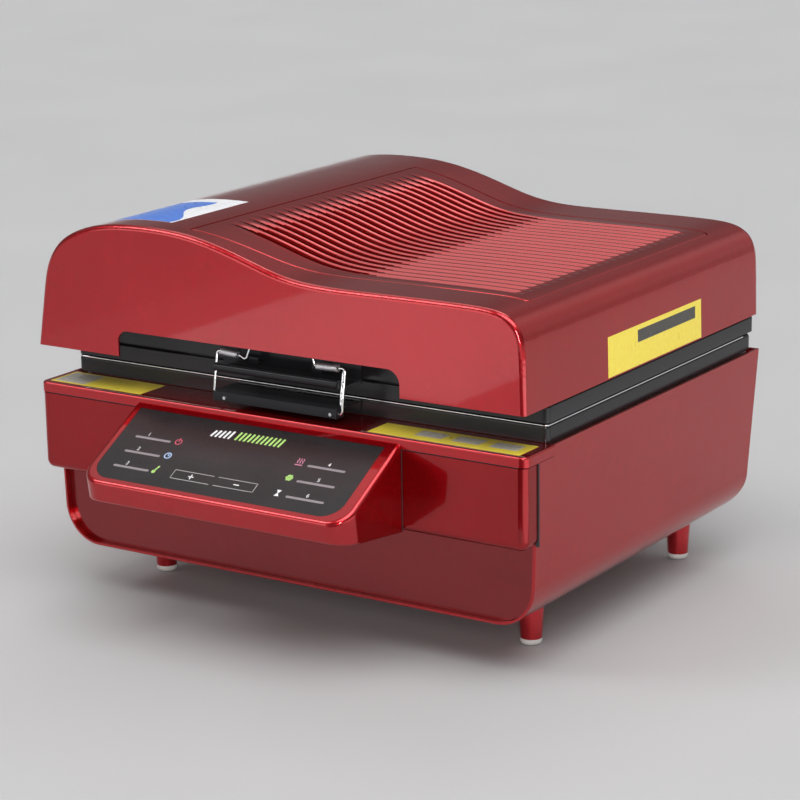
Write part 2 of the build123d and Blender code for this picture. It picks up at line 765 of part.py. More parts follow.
with BuildPart() as lid_hinges:
    for _c in (-hx, hx):
        with BuildSketch(at_x(_c - 13.6)):
            with BuildLine():
                Polyline((dy(rim_y1), 221.0), (dy(rim_y1), 234.0), (dy(rim_y1 + 3), 234.0), (hy + 4, hz + 5.5),
                         (hy, hz), (dy(rim_y1 + 1), 221.0), close=True)
            make_face()
            with Locations((hy, hz)):
                Circle(knuckle_r)
        extrude(amount=13.2)
        rod_x(_c - 20, _c + 10, hy, hz, pin_r + run_fit, mode=Mode.SUBTRACT)
save(lid_hinges, "lid_hinges")

with BuildPart() as film_hinges:
    for _c in (-hx, hx):
        with BuildSketch(at_x(_c + 0.4)):
            with BuildLine():
                Polyline((dy(frame_y1), 214.0), (dy(frame_y1), 219.2), (hy, hz + 2.0), (hy, hz - 5.8),
                         (dy(443), 214.0), close=True)
            make_face()
            with Locations((hy, hz)):
                Circle(knuckle_r)
        extrude(amount=13.2)
        rod_x(_c - 10, _c + 20, hy, hz, pin_r + run_fit, mode=Mode.SUBTRACT)
save(film_hinges, "film_hinges")

# ----------------------------------------------------------------------------
# Film frame: L-section frame, clamped silicone film, clamp ring, pull handle
# ----------------------------------------------------------------------------
_fyc = dy((frame_y0 + frame_y1) / 2)
_fyl = frame_y1 - frame_y0
with BuildPart() as film_frame:
    with BuildSketch(at_z(frame_z0)):
        with Locations((0, _fyc)):
            RectangleRounded(2 * frame_half, _fyl, 5)
    extrude(amount=frame_z1 - frame_z0)
    fillet(film_frame.edges().group_by(Axis.Z)[-1], radius=3.4)
    with BuildSketch(at_z(ledge_z)):
        with Locations((0, _fyc)):
            RectangleRounded(2 * frame_half - 9, _fyl - 9, 3)
    extrude(amount=20, mode=Mode.SUBTRACT)
    with BuildSketch(at_z(frame_z0 - 1)):
        with Locations((0, dy((frame_in_y0 + frame_in_y1) / 2))):
            RectangleRounded(2 * frame_in_half, frame_in_y1 - frame_in_y0, 14)
    extrude(amount=20, mode=Mode.SUBTRACT)
save(film_frame, "film_frame")

with BuildPart() as silicone_film:
    with BuildSketch(at_z(ledge_z)):
        with Locations((0, _fyc)):
            RectangleRounded(2 * frame_half - 12, _fyl - 12, 3)
    extrude(amount=film_thick)
save(silicone_film, "silicone_film")

with BuildPart() as film_clamp_ring:
    with BuildSketch(at_z(ledge_z + film_thick)):
        with Locations((0, _fyc)):
            RectangleRounded(2 * frame_half - 10, _fyl - 10, 3)
        with Locations((0, dy((frame_in_y0 + frame_in_y1) / 2))):
            RectangleRounded(2 * frame_in_half, frame_in_y1 - frame_in_y0, 14, mode=Mode.SUBTRACT)
    extrude(amount=4.0)
save(film_clamp_ring, "film_clamp_ring")

with BuildPart() as frame_screws:
    with BuildSketch(at_z(ledge_z + film_thick + 4.0)):
        with Locations(*[(x, dy(y)) for y in (70.0, 413.0) for x in (-200, -100, 0, 100, 200)]):
            Circle(3.6)
        with Locations(*[(x, dy(y)) for x in (-233.0, 233.0) for y in (140, 243, 346)]):
            Circle(3.6)
    extrude(amount=2.2)
    # two on the lip of the pull handle
    for _x in (-53.0, 60.5):
        with Locations(Location((_x, dy(7.3), 212.5), (90, 0, 0))):
            Cylinder(1.5, 1.4)
save(frame_screws, "frame_screws")

with BuildPart() as film_handle:
    # folded sheet: back flange on the frame, flat, front lip, two end cheeks
    block(-grip_half, grip_half, dy(8.0), dy(48.0), 215.7, 217.5)
    block(-grip_half, grip_half, dy(8.0), dy(9.8), 209.0, 217.5)
    block(-grip_half, grip_half, dy(46.2), dy(48.0), 205.0, 217.5)
    for _s in (-1, 1):
        _xa, _xb = sorted((_s * 64.2, _s * grip_half))
        block(_xa, _xb, dy(8.0), dy(20.0), 208.6, 217.5)
    rod_x(-80, 80, dy(latch_y), latch_z, wire_r + run_fit, mode=Mode.SUBTRACT)
save(film_handle, "film_handle")


# wire latches: a foot in the cheek of the film handle, a leg, a horizontal run
# through a spring sleeve and a free tip turned up
def latch_points(side):
    if side > 0:
        return [(59.0, dy(latch_y), latch_z), (latch_x, dy(latch_y), latch_z), (latch_x, dy(15.4), 226.0),
                (latch_x, dy(20.2), 251.2), (36.4, dy(20.2), 250.2), (33.6, dy(21.2), 259.4)]
    return [(-59.0, dy(latch_y), latch_z), (-latch_x, dy(latch_y), latch_z), (-latch_x, dy(15.4), 226.0),
            (-latch_x, dy(20.2), 251.8), (-43.6, dy(20.2), 249.6), (-37.4, dy(20.2), 246.4), (-32.4, dy(20.8), 259.4)]


with BuildPart() as latch_wire_right:
    with BuildLine() as _pr:
        FilletPolyline(*latch_points(1), radius=[2.6, 6.0, 3.0, 2.4])
    with BuildSketch(Plane(origin=_pr.line @ 0, z_dir=_pr.line % 0)):
        Circle(wire_r)
    sweep(path=_pr.line)
save(latch_wire_right, "latch_wire_right")

with BuildPart() as latch_wire_left:
    with BuildLine() as _pl:
        FilletPolyline(*latch_points(-1), radius=[2.6, 6.0, 3.0, 3.0, 2.6])
    with BuildSketch(Plane(origin=_pl.line @ 0, z_dir=_pl.line % 0)):
        Circle(wire_r)
    sweep(path=_pl.line)
save(latch_wire_left, "latch_wire_left")


def sleeve_between(a, b):
    v = Vector(*b) - Vector(*a)
    return Plane(origin=a, z_dir=v), v.length


_ra, _rb = (62.0, dy(20.2), 251.0), (38.6, dy(20.2), 250.27)
_pa, _la = sleeve_between(_ra, _rb)
with BuildPart() as latch_spring_right:
    with BuildSketch(_pa):
        Circle(sleeve_r)
        Circle(sleeve_in_r, mode=Mode.SUBTRACT)
    extrude(amount=_la)
save(latch_spring_right, "latch_spring_right")

_rc, _rd = (-65.0, dy(20.2), 251.49), (-45.4, dy(20.2), 249.76)
_pb, _lb = sleeve_between(_rc, _rd)
with BuildPart() as latch_spring_left:
    with BuildSketch(_pb):
        Circle(sleeve_r)
        Circle(sleeve_in_r, mode=Mode.SUBTRACT)
    extrude(amount=_lb)
save(latch_spring_left, "latch_spring_left")

# ----------------------------------------------------------------------------
# Lid: heater rim, heater box and what it holds
# ----------------------------------------------------------------------------
_ryc = dy((rim_y0 + rim_y1) / 2)
_ryl = rim_y1 - rim_y0
_riyc = dy((rim_in_y0 + rim_in_y1) / 2)
_riyl = rim_in_y1 - rim_in_y0
with BuildPart() as heater_rim:
    with BuildSketch(at_z(rim_z0)):
        with Locations((0, _ryc)):
            RectangleRounded(2 * frame_half, _ryl, 5)
    extrude(amount=rim_z1 - rim_z0)
    fillet(heater_rim.edges().group_by(Axis.Z)[-1], radius=1.6)
    with BuildSketch(at_z(rim_z0 - 1)):
        with Locations((0, _riyc)):
            RectangleRounded(2 * rim_in_half, _riyl, 12)
    extrude(amount=30, mode=Mode.SUBTRACT)
    # channel in the underside
    with BuildSketch(at_z(rim_z0 - 1)):
        with Locations((0, _ryc)):
            RectangleRounded(2 * frame_half - 5, _ryl - 5, 3)
        with Locations((0, _riyc)):
            RectangleRounded(2 * rim_in_half + 5, _riyl + 5, 14, mode=Mode.SUBTRACT)
    extrude(amount=rim_z1 - rim_z0 - 1.5, mode=Mode.SUBTRACT)
save(heater_rim, "heater_rim")

with BuildPart() as heater_box:
    block(-hbox_half, hbox_half, dy(hbox_y0), dy(hbox_y1), rim_z1, hbox_z1)
    block(-hbox_half + hbox_wall, hbox_half - hbox_wall, dy(hbox_y0 + hbox_wall), dy(hbox_y1 - hbox_wall),
          rim_z1 - 1, hbox_z1 - hbox_wall, mode=Mode.SUBTRACT)
save(heater_box, "heater_box")

with BuildPart() as reflector:
    # bright tray upside down over the tubes
    with BuildSketch(at_z(268)):
        with Locations((0, dy(243))):
            Rectangle(470, 356)
    extrude(amount=14, taper=24)
    with BuildSketch(at_z(267.2)):
        with Locations((0, dy(243))):
            Rectangle(468.2, 354.2)
    extrude(amount=13.8, taper=24, mode=Mode.SUBTRACT)
save(reflector, "reflector")

tube_y = [100.0 + 57.2 * i for i in range(6)]
with BuildPart() as heating_tubes:
    for _y in tube_y:
        rod_x(-206, 206, dy(_y), 258, 6.0)
save(heating_tubes, "heating_tubes")

with BuildPart() as tube_caps:
    for _y in tube_y:
        for _s in (-1, 1):
            _xa, _xb = sorted((_s * 206.0, _s * 226.0))
            block(_xa, _xb, dy(_y - 8), dy(_y + 8), 250, 266)
save(tube_caps, "tube_caps")

with BuildPart() as tube_rails:
    for _s in (-1, 1):
        _xa, _xb = sorted((_s * 214.0, _s * 240.0))
        block(_xa, _xb, dy(80), dy(408), 246.5, 249.9)
        _xa, _xb = sorted((_s * 238.0, _s * 240.0))
        block(_xa, _xb, dy(80), dy(408), 235.0, 249.9)
save(tube_rails, "tube_rails")

with BuildPart() as guard_grid:
    for _i in range(11):
        _x = -200 + 40 * _i
        with Locations(Location((_x, dy(243.5), 238.0), (90, 0, 0))):
            Cylinder(1.5, 330)
    rod_x(-224, 224, dy(90), 241.0 - 2.2, 1.5)
    rod_x(-224, 224, dy(397), 241.0 - 2.2, 1.5)
    rod_x(-224, 224, dy(243.5), 241.0 - 2.2, 1.5)
save(guard_grid, "guard_grid")

with BuildPart() as temperature_probe:
    rod_x(120, 232, dy(272), 243.5, 2.4)
    rod_x(232, 237.9, dy(272), 243.5, 2.9)
save(temperature_probe, "temperature_probe")

with BuildPart() as insulation:
    with BuildSketch(at_z(hbox_z1 + 0.2)):
        with Locations((0, dy(243))):
            RectangleRounded(464, 362, 10)
    extrude(amount=16)
save(insulation, "insulation")

# angle brackets between the rim and the lid's side walls
with BuildPart() as lid_brackets:
    for _y in (110, 228, 346):
        with BuildSketch(at_y(dy(_y))):
            with BuildLine():
                Polyline((-246.0, 235.0), (-251.2, 235.0), (-251.2, 243.6), (-256.2, 247.4), (-254.8, 256.0),
                         (-252.8, 256.0), (-254.0, 248.4), (-249.4, 244.6), (-249.4, 237.0), (-246.0, 237.0),
                         close=True)
            make_face()
            with BuildLine():
                Polyline((246.0, 235.0), (251.2, 235.0), (251.2, 243.6), (256.5, 247.4), (256.3, 256.0),
                         (254.3, 256.0), (254.5, 248.4), (249.4, 244.6), (249.4, 237.0), (246.0, 237.0),
                         close=True)
            make_face()
        extrude(amount=-26)
save(lid_brackets, "lid_brackets")

# ----------------------------------------------------------------------------
# Lid: outer shell and ribbed panel
# ----------------------------------------------------------------------------
def lid_solid(d, low, y0, y1):
    fl, curve, fr, tl, tr = lid_profile(d, low)
    with BuildSketch(at_y(dy(y0))) as sk:
        with BuildLine():
            Line(fl, curve[0])
            Spline(*curve, tangents=[tl, tr], tangent_scalars=(0.5, 0.5))
            Line(curve[-1], fr)
            Line(fr, fl)
        make_face()
    return extrude(sk.sketch, amount=-(y1 - y0), mode=Mode.PRIVATE)


lid_block = lid_solid(0.0, lid_low, 0.0, lid_rear)
with BuildPart() as lid_hollow:
    add(lid_solid(lid_wall, lid_low - 12, lid_wall, lid_rear - lid_wall))
    fillet(lid_hollow.edges().group_by(Axis.Y)[0].filter_by(lambda e: e.center().Z > lid_low - 11), radius=2.3)
    fillet(lid_hollow.edges().group_by(Axis.Y)[-1].filter_by(lambda e: e.center().Z > lid_low - 11), radius=5.8)
rib_outer = lid_solid(-rib_h, lid_low - 12, 10, 430)
rib_inner = lid_solid(0.5, lid_low - 14, 5, 435)
panel_inner = lid_solid(lid_wall, lid_low - 12, 5, 435)

with BuildPart() as lid_shell:
    add(lid_block)
    _front = lid_shell.edges().group_by(Axis.Y)[0].filter_by(lambda e: e.center().Z > lid_low + 1)
    fillet(_front, radius=4.5)
    _back = lid_shell.edges().group_by(Axis.Y)[-1].filter_by(lambda e: e.center().Z > lid_low + 1)
    fillet(_back, radius=8.0)
    add(lid_hollow.part, mode=Mode.SUBTRACT)
    # hand opening in the front
    with BuildSketch(at_y(dy(-5))):
        with BuildLine():
            FilletPolyline((cut_x0, lid_low - 10), (cut_x0, cut_top), (cut_x1, cut_top), (cut_x1, lid_low - 10),
                           radius=[10.0, 13.0])
            Line((cut_x1, lid_low - 10), (cut_x0, lid_low - 10))
        make_face()
    extrude(amount=-20, mode=Mode.SUBTRACT)
    # window for the ribbed panel
    with BuildSketch(at_z(300)) as vent_window:
        with BuildLine():
            Spline(*[(p[0], dy(p[1])) for p in vent_front])
            Line((vent_right, dy(vent_front[-1][1])), (vent_right, dy(vent_rear_right)))
            Line((vent_right, dy(vent_rear_right)), (vent_left, dy(vent_rear_left)))
            Line((vent_left, dy(vent_rear_left)), (vent_left, dy(vent_front[0][1])))
        make_face()
        fillet(vent_window.vertices().filter_by(lambda p: p.X > vent_right - 2), radius=vent_corner)
    extrude(amount=90, mode=Mode.SUBTRACT)
save(lid_shell, "lid_shell")

with BuildPart() as rib_bars:
    with BuildSketch(at_z(300)):
        with Locations((68.5, dy((rib_y0 + rib_y1) / 2))):
            with GridLocations(0, (rib_y1 - rib_y0) / (rib_count - 1), 1, rib_count):
                SlotOverall(303, rib_w)
    extrude(amount=90)
    add(rib_outer, mode=Mode.INTERSECT)
    add(rib_inner, mode=Mode.SUBTRACT)

with BuildPart() as vent_panel:
    with BuildSketch(at_z(300)) as vent_plan:
        with BuildLine():
            Spline(*[(p[0] + (vent_gap if i == 0 else 0), dy(p[1] + vent_gap)) for i, p in enumerate(vent_front[:-1])],
                   (vent_right - vent_gap, dy(vent_front[-1][1] + vent_gap)))
            Line((vent_right - vent_gap, dy(vent_front[-1][1] + vent_gap)),
                 (vent_right - vent_gap, dy(vent_rear_right - vent_gap)))
            Line((vent_right - vent_gap, dy(vent_rear_right - vent_gap)),
                 (vent_left + vent_gap, dy(vent_rear_left - vent_gap)))
            Line((vent_left + vent_gap, dy(vent_rear_left - vent_gap)),
                 (vent_left + vent_gap, dy(vent_front[0][1] + vent_gap)))
        make_face()
        fillet(vent_plan.vertices().filter_by(lambda p: p.X > vent_right - 2), radius=vent_corner - vent_gap)
    extrude(amount=90)
    add(lid_block, mode=Mode.INTERSECT)
    add(panel_inner, mode=Mode.SUBTRACT)
    add(rib_bars.part)
save(vent_panel, "vent_panel")

# straps under the seam that carry the ribbed panel
with BuildPart() as panel_straps:
    for _y in (58.0, 372.0):
        block(-110, 250, dy(_y - 7), dy(_y + 7), 300, 380)
    add(lid_solid(lid_wall + 0.05, lid_low - 12, 5, 435), mode=Mode.INTERSECT)
    add(lid_solid(lid_wall + 1.6, lid_low - 14, 3, 437), mode=Mode.SUBTRACT)
save(panel_straps, "panel_straps")

# grip with a rolled front edge, and the upright plate with the latch catches
with BuildPart() as lid_handle:
    block(-grip_half, grip_half, dy(bar_y), dy(51.5), 235.0, 236.6)
    rod_x(-grip_half, grip_half, dy(bar_y), bar_z, bar_r)
    block(-74, 74, dy(36.0), dy(37.6), 235.0, 274.0)
save(lid_handle, "lid_handle")

with BuildPart() as latch_catches:
    for _x in (-34.0, 34.0):
        block(_x - 5, _x + 5, dy(26.4), dy(36.0), 242.0, 243.8)
        block(_x - 5, _x + 5, dy(26.4), dy(28.0), 243.8, 248.0)
save(latch_catches, "latch_catches")

print("parts written")
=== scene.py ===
import math

import bmesh
import bpy
import numpy as np
from mathutils import Matrix, Vector
from mathutils.bvhtree import BVHTree


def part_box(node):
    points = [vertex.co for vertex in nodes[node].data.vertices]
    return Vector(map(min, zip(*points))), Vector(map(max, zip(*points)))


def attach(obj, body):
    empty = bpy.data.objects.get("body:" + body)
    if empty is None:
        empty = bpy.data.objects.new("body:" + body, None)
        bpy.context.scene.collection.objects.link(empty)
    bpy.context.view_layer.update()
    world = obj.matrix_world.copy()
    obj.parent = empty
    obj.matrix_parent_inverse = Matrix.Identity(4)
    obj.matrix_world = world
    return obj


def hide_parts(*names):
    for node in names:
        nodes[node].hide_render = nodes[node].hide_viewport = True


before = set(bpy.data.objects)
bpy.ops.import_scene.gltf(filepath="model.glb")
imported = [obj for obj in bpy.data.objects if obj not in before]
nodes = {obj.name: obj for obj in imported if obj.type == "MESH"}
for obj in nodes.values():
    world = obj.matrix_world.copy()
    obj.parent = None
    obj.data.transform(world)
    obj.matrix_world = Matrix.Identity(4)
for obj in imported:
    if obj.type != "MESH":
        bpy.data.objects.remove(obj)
bpy.context.view_layer.update()
scene = bpy.context.scene


def P(x, y, z):
    """A point given in millimetres, with y as the depth behind the lid's front face."""
    return Vector((x / 1000, (y - 185) / 1000, z / 1000))


# ------------------------------------------------------------------ camera
YAW, PITCH, ROLL = math.radians(33.2488), math.radians(14.7098), math.radians(-0.8674)
cam_data = bpy.data.cameras.new("camera")
cam_data.lens = 118.93
cam_data.sensor_width = 36.0
cam_data.clip_start, cam_data.clip_end = 0.05, 200
camera = bpy.data.objects.new("camera", cam_data)
scene.collection.objects.link(camera)
back = Vector((math.sin(YAW) * math.cos(PITCH), -math.cos(YAW) * math.cos(PITCH), math.sin(PITCH)))
right = Vector((math.cos(YAW), math.sin(YAW), 0))
up = back.cross(right)
right_r = right * math.cos(ROLL) + up * math.sin(ROLL)
up_r = up * math.cos(ROLL) - right * math.sin(ROLL)
turn = Matrix((right_r, up_r, back)).transposed()
camera.matrix_world = Matrix.Translation(Vector((1.31634, -1.98326, 0.80174))) @ turn.to_4x4()
scene.camera = camera

# ------------------------------------------------------------------ stage and light
scene.view_settings.view_transform = "Standard"

world = bpy.data.worlds.new("studio")
scene.world = world
world.use_nodes = True
wt = world.node_tree
wt.nodes.clear()
w_out = wt.nodes.new("ShaderNodeOutputWorld")
w_bg = wt.nodes.new("ShaderNodeBackground")
w_ramp = wt.nodes.new("ShaderNodeValToRGB")
w_map = wt.nodes.new("ShaderNodeMapRange")
w_sep = wt.nodes.new("ShaderNodeSeparateXYZ")
w_tc = wt.nodes.new("ShaderNodeTexCoord")
wt.links.new(w_tc.outputs["Generated"], w_sep.inputs[0])
wt.links.new(w_sep.outputs["Z"], w_map.inputs["Value"])
w_map.inputs["From Min"].default_value = 0.0
w_map.inputs["From Max"].default_value = 1.0
wt.links.new(w_map.outputs[0], w_ramp.inputs[0])
ramp = w_ramp.color_ramp
ramp.interpolation = "EASE"
stops = [(0.0, 0.38), (0.10, 0.21), (0.30, 0.15), (0.52, 0.27), (0.80, 0.16), (1.0, 0.14)]
ramp.elements[0].position, ramp.elements[0].color = stops[0][0], (stops[0][1],) * 3 + (1,)
ramp.elements[1].position, ramp.elements[1].color = stops[-1][0], (stops[-1][1],) * 3 + (1,)
for pos, val in stops[1:-1]:
    el = ramp.elements.new(pos)
    el.color = (val, val, val, 1)


def studio_lobe(total, azimuth, elevation, inner, outer, power):
    """Adds one soft round light of the studio dome to the running total."""
    az, el_ = math.radians(azimuth), math.radians(elevation)
    dot = wt.nodes.new("ShaderNodeVectorMath")
    dot.operation = "DOT_PRODUCT"
    wt.links.new(w_tc.outputs["Generated"], dot.inputs[0])
    dot.inputs[1].default_value = (math.cos(el_) * math.cos(az), math.cos(el_) * math.sin(az), math.sin(el_))
    fall = wt.nodes.new("ShaderNodeMapRange")
    fall.interpolation_type = "SMOOTHSTEP"
    for key, val in zip(("From Min", "From Max", "To Min", "To Max"), (math.cos(math.radians(outer)), math.cos(math.radians(inner)), 0.0, power)):
        fall.inputs[key].default_value = val
    wt.links.new(dot.outputs["Value"], fall.inputs["Value"])
    plus = wt.nodes.new("ShaderNodeMath")
    plus.operation = "ADD"
    wt.links.new(total, plus.inputs[0])
    wt.links.new(fall.outputs[0], plus.inputs[1])
    return plus.outputs[0]


total = w_ramp.outputs[0]
total = studio_lobe(total, 128, 51, 9, 19, 1.15)      # main softbox, behind on the left
total = studio_lobe(total, 103, 55, 6, 14, 2.0)       # behind, above the sloping flutes
total = studio_lobe(total, 65, 24, 10, 26, 0.32)      # behind on the right, for the right shoulder
total = studio_lobe(total, -45, 68, 16, 34, 4.2)      # big soft overhead light on the camera side
total = studio_lobe(total, 218, 47, 6, 16, 5.0)       # left front, small and bright
total = studio_lobe(total, 238, 9, 8, 16, 1.7)        # low in front, for the rounded edges
total = studio_lobe(total, 168, 60, 8, 15, 0.7)       # left, above the sloping control face
total = studio_lobe(total, 25, 48, 10, 26, 0.5)       # right
wt.links.new(total, w_bg.inputs["Color"])
w_bg.inputs["Strength"].default_value = 1.0
wt.links.new(w_bg.outputs[0], w_out.inputs["Surface"])


def area_light(name, at, look, size_x, size_y, power, colour=(1, 1, 1), spread=180):
    data = bpy.data.lights.new(name, "AREA")
    data.shape = "RECTANGLE"
    data.size, data.size_y = size_x, size_y
    data.energy = power
    data.color = colour
    data.spread = math.radians(spread)
    o = bpy.data.objects.new(name, data)
    scene.collection.objects.link(o)
    o.location = at
    o.rotation_mode = "QUATERNION"
    o.rotation_quaternion = (Vector(look) - Vector(at)).to_track_quat("-Z", "Y")
    o.visible_camera = False
    return o


area_light("strip_light", (1.62, -2.43, 0.85), (0.1, -0.1, 0.25), 0.30, 1.1, 9, spread=100)
for name, away, across, deep, power in (("glow_far", 1.10, 1.30, 0.50, 4.1), ("glow_far_mid", 1.10, 1.05, 0.38, 2.5),
                                        ("glow_far_core", 1.10, 0.80, 0.26, 1.5), ("glow_near", 0.57, 0.68, 0.50, 0.85),
                                        ("glow_near_core", 0.57, 0.50, 0.32, 0.45)):
    turn = math.radians(-4)
    at = (0.25 + away * math.cos(turn), -0.19 + away * math.sin(turn), 0.02)
    glow = area_light(name, at, (at[0], at[1], 1.0), across, deep, power)
    glow.rotation_mode = "XYZ"
    glow.rotation_euler = (math.pi, 0, turn + math.pi / 2)
for name, at, across, deep, power in (("glow_front", (-0.50, -1.22, 0.02), 0.50, 0.66, 0.78), ("glow_front_wide", (-0.50, -1.30, 0.018), 0.80, 0.90, 0.20)):
    glow = area_light(name, at, (at[0], at[1], 1.0), across, deep, power)
    glow.rotation_mode = "XYZ"
    glow.rotation_euler = (math.pi, 0, 0)


# a dark flag lies on the floor beside the front light, where only glossy surfaces see it
flag_mesh = bpy.data.meshes.new("studio_flag")
flag_mesh.from_pydata([(0.08, -0.61, 0.001), (0.34, -0.64, 0.001), (0.54, -0.53, 0.001), (1.15, -1.25, 0.001), (0.55, -1.62, 0.001), (-0.25, -1.55, 0.001)], [], [(0, 1, 2, 3, 4, 5)])
flag = bpy.data.objects.new("studio_flag", flag_mesh)
scene.collection.objects.link(flag)
flag.visible_camera = flag.visible_diffuse = flag.visible_shadow = flag.visible_transmission = False
flag_mat = bpy.data.materials.new("studio_flag")
flag_mat.use_nodes = True
flag_mat.node_tree.nodes["Principled BSDF"].inputs["Base Color"].default_value = (0.02, 0.02, 0.02, 1)
flag_mat.node_tree.nodes["Principled BSDF"].inputs["Roughness"].default_value = 0.9
flag_mesh.materials.append(flag_mat)


# ------------------------------------------------------------------ material tools
class Mat:
    """A node material with one principled shader and short calls for its texture nodes."""

    def __init__(self, name):
        self.m = bpy.data.materials.new(name)
        self.m.use_nodes = True
        self.t = self.m.node_tree
        self.t.nodes.clear()
        self.out = self.n("ShaderNodeOutputMaterial")
        self.b = self.n("ShaderNodeBsdfPrincipled")
        self.link(self.b.outputs[0], self.out.inputs["Surface"])
        tc = self.n("ShaderNodeTexCoord")
        self.obj = tc.outputs["Object"]

    def n(self, kind, **props):
        node = self.t.nodes.new(kind)
        for k, v in props.items():
            setattr(node, k, v)
        return node

    def link(self, a, b):
        self.t.links.new(a, b)

    def set(self, **values):
        names = {"rough": "Roughness", "metal": "Metallic", "coat": "Coat Weight", "coat_rough": "Coat Roughness",
                 "coat_ior": "Coat IOR", "coat_tint": "Coat Tint", "ior": "IOR", "spec": "Specular IOR Level",
                 "trans": "Transmission Weight", "sheen": "Sheen Weight", "sheen_rough": "Sheen Roughness",
                 "sss": "Subsurface Weight", "aniso": "Anisotropic", "colour": "Base Color", "alpha": "Alpha",
                 "spec_tint": "Specular Tint", "emit": "Emission Color", "emit_power": "Emission Strength"}
        for k, v in values.items():
            if isinstance(v, tuple) and len(v) == 3:
                v = v + (1,)
            self.b.inputs[names[k]].default_value = v

    def scaled(self, sx, sy, sz, rotate=(0, 0, 0)):
        mp = self.n("ShaderNodeMapping")
        mp.inputs["Scale"].default_value = (sx, sy, sz)
        mp.inputs["Rotation"].default_value = rotate
        self.link(self.obj, mp.inputs[0])
        return mp.outputs[0]

    def noise(self, scale, detail=3, rough=0.5, distort=0.0, vec=None):
        x = self.n("ShaderNodeTexNoise")
        x.inputs["Scale"].default_value = scale
        x.inputs["Detail"].default_value = detail
        x.inputs["Roughness"].default_value = rough
        x.inputs["Distortion"].default_value = distort
        self.link(vec if vec is not None else self.obj, x.inputs["Vector"])
        return x.outputs["Fac"]

    def cells(self, scale, feature="F1", out="Distance", vec=None, randomness=1.0):
        x = self.n("ShaderNodeTexVoronoi", feature=feature)
        x.inputs["Scale"].default_value = scale
        x.inputs["Randomness"].default_value = randomness
        self.link(vec if vec is not None else self.obj, x.inputs["Vector"])
        return x.outputs[out]

    def ramp(self, fac, stops, ease="LINEAR"):
        x = self.n("ShaderNodeValToRGB")
        x.color_ramp.interpolation = ease
        els = x.color_ramp.elements
        for i, (pos, col) in enumerate(stops):
            if isinstance(col, (int, float)):
                col = (col, col, col)
            if i < 2:
                els[i].position = pos
                e = els[i]
            else:
                e = els.new(pos)
            e.color = tuple(col) + (1,)
        self.link(fac, x.inputs[0])
        return x.outputs[0]

    def remap(self, fac, a0, a1, b0, b1):
        x = self.n("ShaderNodeMapRange")
        for k, v in zip(("From Min", "From Max", "To Min", "To Max"), (a0, a1, b0, b1)):
            x.inputs[k].default_value = v
        self.link(fac, x.inputs["Value"])
        return x.outputs[0]

    def mix(self, fac, a, b, kind="MIX"):
        x = self.n("ShaderNodeMix", data_type="RGBA", blend_type=kind)
        for sock, v in ((x.inputs[0], fac), (x.inputs[6], a), (x.inputs[7], b)):
            if isinstance(v, bpy.types.NodeSocket):
                self.link(v, sock)
            elif isinstance(v, (int, float)):
                sock.default_value = v
            else:
                sock.default_value = tuple(v) + (1,)
        return x.outputs[2]

    def math(self, op, a, b=0.0):
        x = self.n("ShaderNodeMath", operation=op)
        for sock, v in ((x.inputs[0], a), (x.inputs[1], b)):
            if isinstance(v, bpy.types.NodeSocket):
                self.link(v, sock)
            else:
                sock.default_value = v
        return x.outputs[0]

    def bump(self, height, strength, distance, normal=None):
        x = self.n("ShaderNodeBump")
        x.inputs["Strength"].default_value = strength
        x.inputs["Distance"].default_value = distance
        self.link(height, x.inputs["Height"])
        if normal is not None:
            self.link(normal, x.inputs["Normal"])
        return x.outputs[0]

    def edge(self, low=0.5, high=0.62):
        g = self.n("ShaderNodeNewGeometry")
        return self.remap(g.outputs["Pointiness"], low, high, 0, 1)

    def to(self, socket, value):
        self.link(value, self.b.inputs[socket])


M = {}


def candy(name, deep, lit, metal=0.84, rough=0.25, coat=1.0):
    """Metallic lacquer: very fine flakes under a clear coat, with a faint orange peel."""
    k = Mat(name)
    k.set(metal=metal, coat=coat, coat_rough=0.035, coat_ior=1.5, spec_tint=(0.80, 0.10, 0.12))
    flake = k.cells(5200, out="Color")
    sep = k.n("ShaderNodeSeparateColor")
    k.link(flake, sep.inputs[0])
    cloud = k.noise(9, 3, 0.55)
    tone = k.mix(k.remap(cloud, 0.3, 0.7, 0.0, 1.0), deep, lit)
    spark = k.remap(sep.outputs[0], 0.0, 1.0, 0.93, 1.07)
    rgb = k.n("ShaderNodeCombineColor")
    for i in range(3):
        k.link(spark, rgb.inputs[i])
    k.to("Base Color", k.mix(1.0, tone, rgb.outputs[0], "MULTIPLY"))
    k.to("Roughness", k.math("ADD", k.remap(sep.outputs[1], 0, 1, -0.02, 0.02), k.remap(k.noise(45, 2), 0.3, 0.7, rough - 0.012, rough + 0.012)))
    peel = k.noise(330, 2, 0.45)
    k.to("Normal", k.bump(peel, 0.03, 0.0004))
    coat = k.bump(peel, 0.015, 0.0004)
    k.to("Coat Normal", coat)
    M[name] = k.m
    return k


candy("candy_red_paint", (0.40, 0.0042, 0.0092), (0.44, 0.0055, 0.0115))
# painted reflection: a dark red for the flute floors of the sloping panel, standing in for the dark reflections there
candy("candy_red_painted_reflection_flute", (0.062, 0.0004, 0.0008), (0.074, 0.0005, 0.0011), metal=1.0, coat=0.02)
# shaded and lit copies of the red paint: a darker red on the front box and a darker, greyer red on the recessed lower
# front panel are painted shade, a lighter red on the feet is painted light
candy("candy_red_painted_shade_box", (0.29, 0.0026, 0.0060), (0.325, 0.0038, 0.0078), metal=0.89, coat=0.7)
candy("candy_red_painted_shade_recess", (0.20, 0.0060, 0.0085), (0.225, 0.0075, 0.0100), metal=0.84, coat=0.9)
candy("candy_red_painted_light_feet", (0.56, 0.012, 0.020), (0.62, 0.016, 0.025))
candy("red_panel_paint", (0.40, 0.0042, 0.0092), (0.44, 0.0055, 0.0115), rough=0.22)

